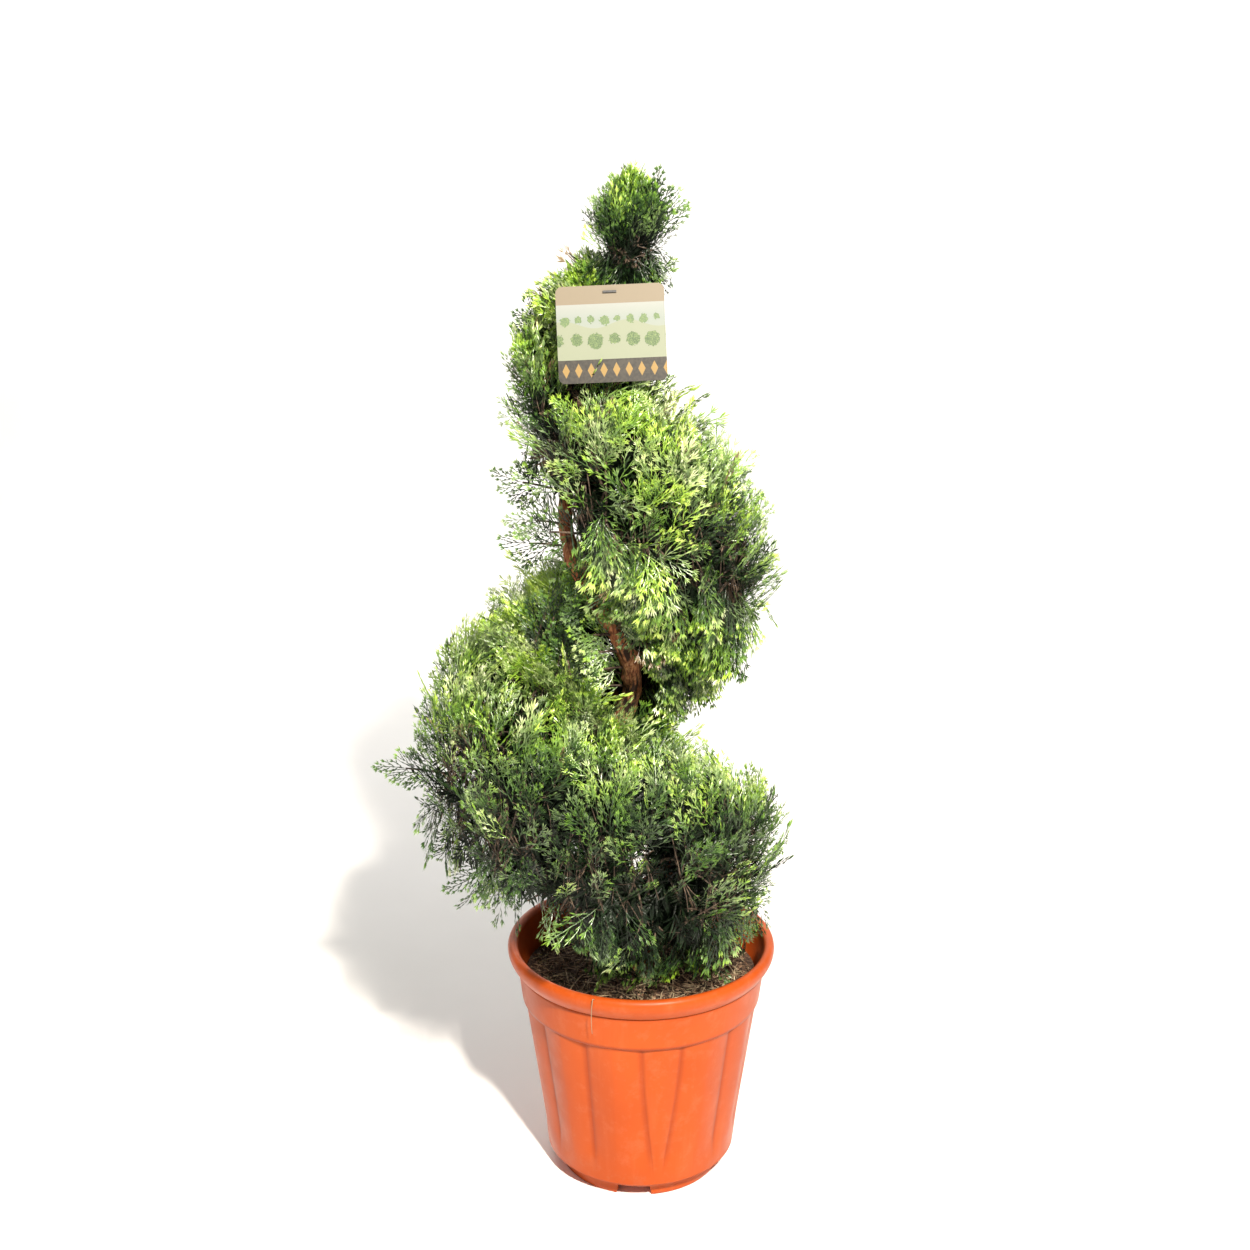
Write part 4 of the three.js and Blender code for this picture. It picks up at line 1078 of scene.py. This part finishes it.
def foliageMaterial():
    # cedar scale leaves: waxy, so they take a soft sheen; new tips are yellow-green and let light through
    material, tree, shader = newMaterial("cedar_scale_leaf")
    tone = attribute(tree, "tone")
    # every spray is dark at its stalk and paler at its tips: age = 0.05 + 0.53 tone + 0.36 tip^2 + speck
    young = calc(tree, "MULTIPLY_ADD", calc(tree, "POWER", attribute(tree, "tip"), 2.0), 0.36, 0.05)
    speck = times(tree, calc(tree, "SUBTRACT", noise(tree, 220.0), 0.5), 0.2)
    age = calc(tree, "ADD", calc(tree, "MULTIPLY_ADD", tone, 0.53, young), speck)
    # some sprays are lime and some are greyer, in patches of 40 mm
    ages = (0.1, 0.26, 0.4, 0.54, 0.68, 0.86)
    lime = ramp(tree, age, *zip(ages, ("#0c130c", "#21371c", "#486a28", "#769f34", "#a5c83c", "#d6ea74")))
    grey = ramp(tree, age, *zip(ages, ("#0d120e", "#253222", "#4b6238", "#7b9657", "#aabd7b", "#dfe5bd")))
    patch = ramp(tree, noise(tree, 26.0, 1.0), (0.45, 0.0), (0.62, 1.0))
    straw = ramp(tree, age, (0.1, "#29201a"), (0.5, "#6f5c40"), (0.9, "#b5a277"))
    base = blend(tree, attribute(tree, "dry"), blend(tree, patch, lime, grey), straw)
    rough = ramp(tree, noise(tree, 700.0), (0.3, 0.22), (0.7, 0.42))
    # old leaves in the shade are dull, young ones glint
    gloss = calc(tree, "MULTIPLY_ADD", tone, 1.9, 0.05)
    rolled = calc(tree, "MULTIPLY_ADD", noise(tree, 420.0, 1.0), 3.0, noise(tree, 1500.0, 2.0))
    feed(tree, shader, Base_Color=base, Roughness=rough, IOR=1.45, Specular_IOR_Level=gloss)
    feed(tree, shader, Normal=bump(tree, rolled, 0.5, 0.3))
    glow = addNode(tree, "ShaderNodeBsdfTranslucent", Color=base)
    both = addNode(tree, "ShaderNodeMixShader", i0=0.16, i1=shader.outputs[0], i2=glow.outputs[0])
    feed(tree, tree.nodes["Material Output"], Surface=both.outputs[0])
    return material


def twigMaterial():
    # young cedar wood: smooth red-brown bark, greyer on the oldest
    material, tree, shader = newMaterial("cedar_twig")
    grain = noise(tree, 240.0, 4.0, stretch=(1, 1, 0.3))
    base = ramp(tree, grain, (0.3, "#231b15"), (0.5, "#43352a"), (0.7, "#766350"))
    feed(tree, shader, Base_Color=base, Roughness=0.75, Normal=bump(tree, noise(tree, 900.0), 0.4, 0.3))
    return material


outerKinds = [sprayKind(number, leaf["width"]) for number in range(leaf["kinds"])]
outerKinds += [hangKind(number, leaf["hangWidth"]) for number in range(leaf["hangKinds"])]
loneKinds = [sprayKind(0, leaf["loneWidth"]), sprayKind(1, leaf["loneWidth"]), hangKind(0, leaf["loneWidth"])]
innerKinds = [innerKind(number) for number in range(3)]
leafSkin, twigSkin = foliageMaterial(), twigMaterial()


def ribbonSurface(i):
    # (u, v) of mass i to a point at a share of its section, the way out of it and its angle
    first, last = massEnds(i)

    def at(u, v, share):
        turn = mix(first, last, 0.02 + 0.96 * u)
        a = np.radians(mix(-146, 150, v))
        point = sectionPoint(turn, a, share)
        radial = stack(np.cos(azimuth(turn)), np.sin(azimuth(turn)), 0 * turn)
        return point, unit(radial * np.cos(a)[:, None] + stack(0 * a, 0 * a, np.sin(a))), a

    return at


def crownSurface():
    # an upright egg about the trunk's tip: radius = core * sqrt(1 - h^2), h from -1 to 1 up its height
    low, high = crown["low"] + crown["coreLow"], crown["high"] - crown["coreHigh"]

    def at(u, v, share):
        up = mix(-0.95, 0.92, v) * np.sqrt(share)
        a = u * 2 * np.pi
        width = crown["core"] * np.sqrt(np.maximum(0.02, 1 - up * up)) * share
        point = stack(crown["x"] + width * np.cos(a), width * np.sin(a), mix(low, high, (1 + up) / 2))
        return point, unit(stack(np.cos(a), np.sin(a), up)), np.arcsin(up)

    return at


def sprout(rng, at, u, v, share, spec):
    # roots and tips of sprays on a surface: aim = out + way up the surface * lift + sideways * lean;
    # the length is cut so that the tip stands no more than its reach outside the surface
    surface, out, angle = at(u, v, share)
    count = len(u)
    upward = np.array([[0, 0, 1.0]]) - out[:, 2:3] * out
    upAlong = upward / np.maximum(np.linalg.norm(upward, axis=1, keepdims=True), 0.25)
    side = np.cross(out, upAlong)
    rises = rng.random(count) < smooth(-0.6, 0.15, np.sin(angle))
    lift = np.where(rises, rng.uniform(*spec["lift"], count), -rng.uniform(0.5, 1.3, count))
    lean = rng.normal(0, spec["lean"], count)
    aim = out * rng.uniform(0.35, 0.95, count)[:, None] + upAlong * lift[:, None] + side * lean[:, None]
    # under the section the sprays hang straight down
    under = smooth(-0.75, -0.98, np.sin(angle))[:, None]
    aim = mix(aim, np.array([[0, 0, -1.0]]) + 0.5 * out * [[1, 1, 0]] + side * 0.7 * lean[:, None], under)
    aim = unit(aim + rng.normal(0, 0.1, aim.shape))
    steep = np.maximum(np.sum(aim * out, axis=1), 0.25)
    reach = leaf["reach"] * rng.uniform(0.55, 1.2, count) * (1 + spec["hang"] * under[:, 0])
    length = np.minimum(rng.uniform(*spec["length"], count), (reach + 7) / steep)
    root = surface - out * 7
    return root, root + aim * length[:, None], out, angle, length


def growMass(i, label, at, spec):
    # the sprays and twigs of one mass; label is the end of its pieces' names
    rng = np.random.default_rng(100 + i)
    rows, columns, per = leaf["rows"], leaf["columns"], leaf["twigsPerShoot"]
    # the shoots stand where the solid's sprays stand, by the same numbers
    number = np.arange(1, rows * columns + 1)
    r, c = (number - 1) // columns, (number - 1) % columns
    shootU = (c + 0.5 + 0.34 * spread(i, number, 1) + np.where(r % 2, 0.25, -0.25)) / columns
    shootV = (r + 0.5 + 0.34 * spread(i, number, 2)) / rows
    # the twigs of a shoot stand a quarter of a cell apart, and the sprays scatter round each twig's end
    quarter = np.array([[-1, -1], [1, -1], [-1, 1], [1, 1]]) * 0.25
    twigU = (shootU[:, None] + (quarter[:, 0] + rng.normal(0, 0.06, (len(shootU), per))) / columns).reshape(-1)
    twigV = (shootV[:, None] + (quarter[:, 1] + rng.normal(0, 0.06, (len(shootU), per))) / rows).reshape(-1)
    shootU, shootV, twigU, twigV = (np.clip(w, 0, 1) for w in (shootU, shootV, twigU, twigV))

    def around(perTwig):
        owner = np.repeat(np.arange(len(twigU)), perTwig)
        u = twigU[owner] + rng.normal(0, 0.24, len(owner)) / columns
        v = twigV[owner] + rng.normal(0, 0.24, len(owner)) / rows
        return owner, np.clip(u, 0, 1), np.clip(v, 0, 1)

    heart = at(shootU, shootV, 0.12)[0]
    shootEnd = at(shootU, shootV, 0.5)[0]
    twigEnd = at(twigU, twigV, rng.uniform(0.66, 0.82, len(twigU)))[0]

    # outer sprays, in layers from a little inside the surface to its outside
    owner, u, v = around(spec["sprays"])
    share = rng.uniform(0.84, 1.02, len(u))
    root, tip, out, angle, length = sprout(rng, at, u, v, share, spec)
    low = np.sin(angle) < -0.45
    kept = keepClear(root, tip) & ~(low & (rng.random(len(root)) < spec["thin"]))
    owner, root, tip, out, angle, length, share = (w[kept] for w in (owner, root, tip, out, angle, length, share))
    count = len(root)
    along = unit(tip - root)
    normal = rollNormal(along, out, rng.normal(0, spec["roll"], count))
    high = np.sin(angle)
    loose = high < rng.uniform(-0.75, -0.15, count)
    hanging = rng.integers(leaf["kinds"], len(outerKinds), count)
    kindNumber = np.where(loose, hanging, rng.integers(0, leaf["kinds"], count))
    points, faces, tips, owners = placeSprays(outerKinds, root, along, normal, length, kindNumber)
    # tone: painted light makes the sprays lime on top, outside, where they point up and where they hang loose, painted
    # shade makes them dark low down, in front and inside, and drifts of each 70 mm across vary it
    own = toneShare
    drift = noiseAt(root[:, 0], root[:, 1], root[:, 2], 70, 9)
    shade = (leaf["shade"][i] if i < len(leaf["shade"]) else spec["tone"]) * smooth(0.95, 0.3, high)
    lime = leaf["lime"].get(i, 0) * smooth(0.1, 0.6, high)
    tone = own["base"] + lime + own["up"] * high + own["rise"] * along[:, 2]
    tone += own["depth"] * (share - 0.95) + own["drift"] * drift + shade
    tone += np.where(loose, own["loose"], own["crest"] * smooth(0.2, 0.7, high))
    tone = np.clip(tone + rng.normal(0, own["scatter"], count), 0.02, 1)
    dead = leaf["dry"].get(i, leaf["dryElse"])
    dry = (rng.random(count) < dead * (1 + 3 * (share < 0.9))).astype(float)

    # inner sprays, coarse and dark: partly the dull colour of old inner leaves, partly painted shade
    _, u, v = around(leaf["innerPerTwig"])
    inner = sprout(rng, at, u, v, rng.uniform(0.1, 0.8, len(u)), spec)
    kept = keepClear(inner[0], inner[1]) & (inner[1][:, 2] > potTop + 18)
    innerRoot, innerTip, innerOut, _, innerLength = (w[kept] for w in inner)
    count = len(innerRoot)
    innerAlong = unit(innerTip - innerRoot)
    innerNormal = rollNormal(innerAlong, innerOut, rng.normal(0, 0.5, count))
    which = rng.integers(0, len(innerKinds), count)
    innerLength = innerLength * leaf["innerSize"]
    coarse = placeSprays(innerKinds, innerRoot, innerAlong, innerNormal, innerLength, which)
    innerTone = rng.uniform(0.0, own["shaded"], count)
    innerDry = (rng.random(count) < 3 * dead).astype(float)
    values = {
        "tone": np.concatenate([tone[owners], innerTone[coarse[3]]]),
        "tip": np.concatenate([tips, coarse[2]]),
        "dry": np.concatenate([dry[owners], innerDry[coarse[3]]]),
    }
    faces = np.concatenate([faces, coarse[1] + len(points)])
    piece = makePiece("leaves_" + label, np.concatenate([points, coarse[0]]), None, faces, values, False)
    settle(piece, leafSkin, "foliage", "foliage_" + label)

    # shoots from the heart, twigs from the shoots, and a stalk to each spray
    a, c = np.repeat(shootEnd, per, 0), twigEnd
    shoots = tubes((heart, mix(heart, shootEnd, 0.5) + [0, 0, 5], shootEnd), leaf["shootRadii"], 6, 6)
    twigs = tubes((a, mix(a, c, 0.5) + rng.normal(0, 3, a.shape), c), leaf["twigRadii"], 5, 4)
    a, c = twigEnd[owner], root + along * 5
    stalks = tubes((a, mix(a, c, 0.6) + rng.normal(0, 1.5, a.shape), c), leaf["stalkRadii"], 3, 3)
    joinTwigs("twigs_" + label, shoots, twigs, stalks)
    return len(faces)


def joinTwigs(name, *parts):
    # several sets of tubes as one piece, each set's faces counted on from the points before it
    starts = np.cumsum([0] + [len(block) * block.shape[1] for block, _, _ in parts])
    points = np.concatenate([block.reshape(-1, 3) for block, _, _ in parts])
    quads = np.concatenate([part[1] + start for part, start in zip(parts, starts)])
    tris = np.concatenate([part[2] + start for part, start in zip(parts, starts)])
    settle(makePiece(name, points, quads, tris), twigSkin, "bark")


def growWild():
    # each missed shoot is a bowed twig with sprays at both sides and one at its end, all in one plane
    rng = np.random.default_rng(77)
    roots, ends, looks = [], [], []
    for turn, angle, along, reach in wildShoots:
        start = sectionPoint(np.array([turn]), np.array([math.radians(angle)]))[0]
        roots.append(start - 18 * np.array(along))
        ends.append(start + unit(np.array(along, float)) * reach)
        looks.append(rng.uniform(0.14, 0.38))
    for height, along, reach, tone in trunkShoots:
        start = trunkPoint(height)
        roots.append(start + unit(np.array(along, float)) * 6)
        ends.append(start + unit(np.array(along, float)) * reach)
        looks.append(tone - 0.12)
    # wisps at the very top
    top = np.array([crown["x"] + 22, -2, crown["high"] - crown["coreHigh"] - 4])
    for lean, rise in ((0.0, 0.0), (-14.0, -9.0), (11.0, -12.0), (-30.0, -16.0)):
        roots.append(top + [lean - 10, 0, -30])
        ends.append(top + [lean, 4 * lean / 14, rise])
        looks.append(0.35)
    a, c = np.array(roots), np.array(ends)
    twigs = tubes((a, mix(a, c, 0.5) + [0, 0, 2], c), (1.8, 1.0), 5, 8)
    rows = []
    for k in range(len(a)):
        axis = unit(c[k] - a[k])
        look = np.array([0.25 * rng.normal(), -1.0, 0.25])
        side = unit(np.cross(look, axis))
        count = 2 + int(np.linalg.norm(c[k] - a[k]) / 11)
        for j in range(count):
            s = mix(0.22, 0.92, j / (count - 1))
            hand = 1 if j % 2 else -1
            rows.append((k, mix(a[k], c[k], s), unit(axis + side * hand * mix(0.9, 0.6, s)), mix(44, 32, s), look))
        rows.append((k, c[k], axis, 38.0, look))
    owner, root, along, length, facing = (np.array(w) for w in zip(*rows))
    normal = rollNormal(along, facing, rng.normal(0, 0.25, len(root)))
    which = rng.integers(0, len(loneKinds), len(root))
    points, faces, tips, owners = placeSprays(loneKinds, root, along, normal, length, which)
    tone = (np.array(looks)[owner] + rng.normal(0, 0.07, len(root)))[owners]
    piece = makePiece("leaves_wild", points, None, faces, {"tone": tone, "tip": tips, "dry": 0 * tips}, False)
    settle(piece, leafSkin, "foliage")
    joinTwigs("twigs_wild", twigs)
    return len(faces)


ribbonSpec = {
    "sprays": leaf["spraysPerTwig"],
    "lift": (0.3, 1.0),
    "lean": 0.45,
    "roll": 0.6,
    "length": (46, 80),
    "hang": 0.2,
    "thin": 0.0,
}
# the masses over the pot hang their sprays down over the soil
overPotSpec = {**ribbonSpec, "hang": 1.1, "thin": 0.5}
crownSpec = {
    "sprays": 6,
    "lift": (1.0, 2.6),
    "lean": 0.22,
    "roll": 0.9,
    "length": (30, 52),
    "hang": 0.0,
    "thin": 0.0,
    # painted shade: the crown's sprays darker low and in front, added to the tone like the masses' shade
    "tone": -0.18,
}
total = 0
for massIndex in range(ribbon["masses"]):
    spec = overPotSpec if massIndex < 5 else ribbonSpec
    total += growMass(massIndex, "%02d" % (massIndex + 1), ribbonSurface(massIndex), spec)
total += growMass(ribbon["masses"], "top", crownSurface(), crownSpec)
total += growWild()
print("foliage:", total, "leaf faces")


# ---------- label ----------
def cardPoint(x, y, z):
    # x right, z up from the top edge's middle, y behind the face; rolled, tilted and hung in place
    roll = math.radians(-card["roll"])
    tilt = math.radians(-card["tilt"])
    x1 = x * math.cos(roll) + z * math.sin(roll)
    z1 = -x * math.sin(roll) + z * math.cos(roll)
    y2 = y * math.cos(tilt) - z1 * math.sin(tilt)
    z2 = y * math.sin(tilt) + z1 * math.cos(tilt)
    return stack(card["x"] + x1, card["topY"] + y2, card["topZ"] + z2)


def growCard():
    # a rounded rectangle |x|, |z| < half sizes with corner arcs, as a thin slab
    w, h, c = card["width"] / 2, card["height"], card["corner"]
    edge = []
    for cx, cz, start in ((w - c, -c, 0), (-w + c, -c, 90), (-w + c, -h + c, 180), (w - c, -h + c, 270)):
        for a in np.radians(np.linspace(start, start + 90, 7)):
            edge.append((cx + c * math.cos(a), cz + c * math.sin(a)))
    n, t = len(edge), card["thick"] / 2
    # the front's edge, the back's edge, then a point in the middle of each
    x, z = np.array(edge + edge + [(0, -h / 2)] * 2).T
    y = np.repeat([-t, t, -t, t], [n, n, 1, 1])
    k = np.arange(n)
    j = (k + 1) % n
    caps = np.concatenate([np.stack([j, k, np.full(n, 2 * n)], 1), np.stack([n + k, n + j, np.full(n, 2 * n + 1)], 1)])
    quads = np.stack([k, j, n + j, n + k], 1)
    return makePiece("card", cardPoint(x, y, z), quads, caps, {"cardX": x * mm, "cardZ": z * mm}, False)


# metres down from the card's top edge, and hex colours
cardPrint = {
    "heading": (0.019, "#6d6352"),
    "horizon": (0.040, "#737966"),
    "strip": 0.076,
    "wave": (95.0, 0.004),
    # rows of bushes: place, size, gap, shift, colour
    "rows": ((0.035, 0.0042, 0.0135, 0.0, "#475c3d"), (0.056, 0.0068, 0.0195, 0.35, "#34492c")),
    "lozenge": {"z": 0.087, "gap": 0.013, "shift": 10.2, "narrow": 3.4, "tall": 0.0075, "colour": "#7e6534"},
}


def cardMaterial():
    # printed plastic card: a tan heading band, a pale field with rows of bushes, a dark strip of lozenges
    material, tree, shader = newMaterial("printed_plastic_card")
    x = attribute(tree, "cardX")
    z = times(tree, attribute(tree, "cardZ"), -1.0)
    sky = ramp(tree, calc(tree, "DIVIDE", z, 0.08), (0.2, "#80837f"), (0.45, "#747c76"), (0.8, "#7c8074"))
    turns, tall = cardPrint["wave"]
    wave = times(tree, calc(tree, "SINE", times(tree, x, turns)), tall)
    level, colour = cardPrint["horizon"]
    field = blend(tree, calc(tree, "GREATER_THAN", calc(tree, "ADD", z, wave), level), sky, linear(colour))
    # in each cell of a row, a bush where sqrt((x - middle)^2 + (z - row)^2) is under a radius that goes
    # up and down from cell to cell
    for row, size, gap, shift, colour in cardPrint["rows"]:
        along = calc(tree, "MULTIPLY_ADD", x, 1 / gap, 10 + shift)
        sway = calc(tree, "SINE", times(tree, calc(tree, "FLOOR", along), 2.3))
        dx = times(tree, calc(tree, "SUBTRACT", calc(tree, "FRACT", along), 0.5), gap)
        dz = calc(tree, "SUBTRACT", z, calc(tree, "MULTIPLY_ADD", sway, 0.0012, row))
        away = calc(tree, "SQRT", calc(tree, "ADD", times(tree, dx, dx), times(tree, dz, dz)))
        mottle = times(tree, calc(tree, "SUBTRACT", noise(tree, 420.0, 4.0), 0.5), 0.007)
        radius = calc(tree, "MULTIPLY_ADD", sway, size * 0.22, size)
        bush = calc(tree, "LESS_THAN", calc(tree, "ADD", away, mottle), radius)
        leafy = ramp(tree, noise(tree, 900.0, 2.0), (0.4, colour), (0.65, "#617246"))
        field = blend(tree, bush, field, leafy)
    strip = calc(tree, "GREATER_THAN", z, cardPrint["strip"])
    ground = ramp(tree, noise(tree, 320.0), (0.4, "#1d1a15"), (0.6, "#2e2a22"))
    field = blend(tree, strip, field, ground)
    # lozenges in the strip: |x| * narrow + |z| / tall under 1 in each cell
    own = cardPrint["lozenge"]
    cell = calc(tree, "FRACT", calc(tree, "MULTIPLY_ADD", x, 1 / own["gap"], own["shift"]))
    across = times(tree, calc(tree, "ABSOLUTE", calc(tree, "SUBTRACT", cell, 0.5)), own["narrow"])
    tall = calc(tree, "DIVIDE", calc(tree, "ABSOLUTE", calc(tree, "SUBTRACT", z, own["z"])), own["tall"])
    motif = calc(tree, "LESS_THAN", calc(tree, "ADD", across, tall), 1.0)
    field = blend(tree, times(tree, motif, strip), field, linear(own["colour"]))
    level, colour = cardPrint["heading"]
    field = blend(tree, calc(tree, "LESS_THAN", z, level), field, linear(colour))
    feed(tree, shader, Base_Color=field, Roughness=0.5, IOR=1.5, Specular_IOR_Level=0.3)
    feed(tree, shader, Normal=bump(tree, noise(tree, 60.0), 0.05, 0.5))
    return material


settle(growCard(), cardMaterial(), "label_card", "label_card")


def tieMaterial():
    # black nylon: dark, with a soft satin break-up
    material, tree, shader = newMaterial("black_nylon")
    tint = ramp(tree, noise(tree, 300.0), (0.3, "#0e0e0f"), (0.7, "#1b1b1d"))
    rough = ramp(tree, noise(tree, 600.0), (0.3, 0.4), (0.7, 0.6))
    feed(tree, shader, Base_Color=tint, Roughness=rough)
    return material


tieNode = nodes["label_tie"]
tieNode.data.materials.clear()
tieNode.data.materials.append(tieMaterial())
print("label")
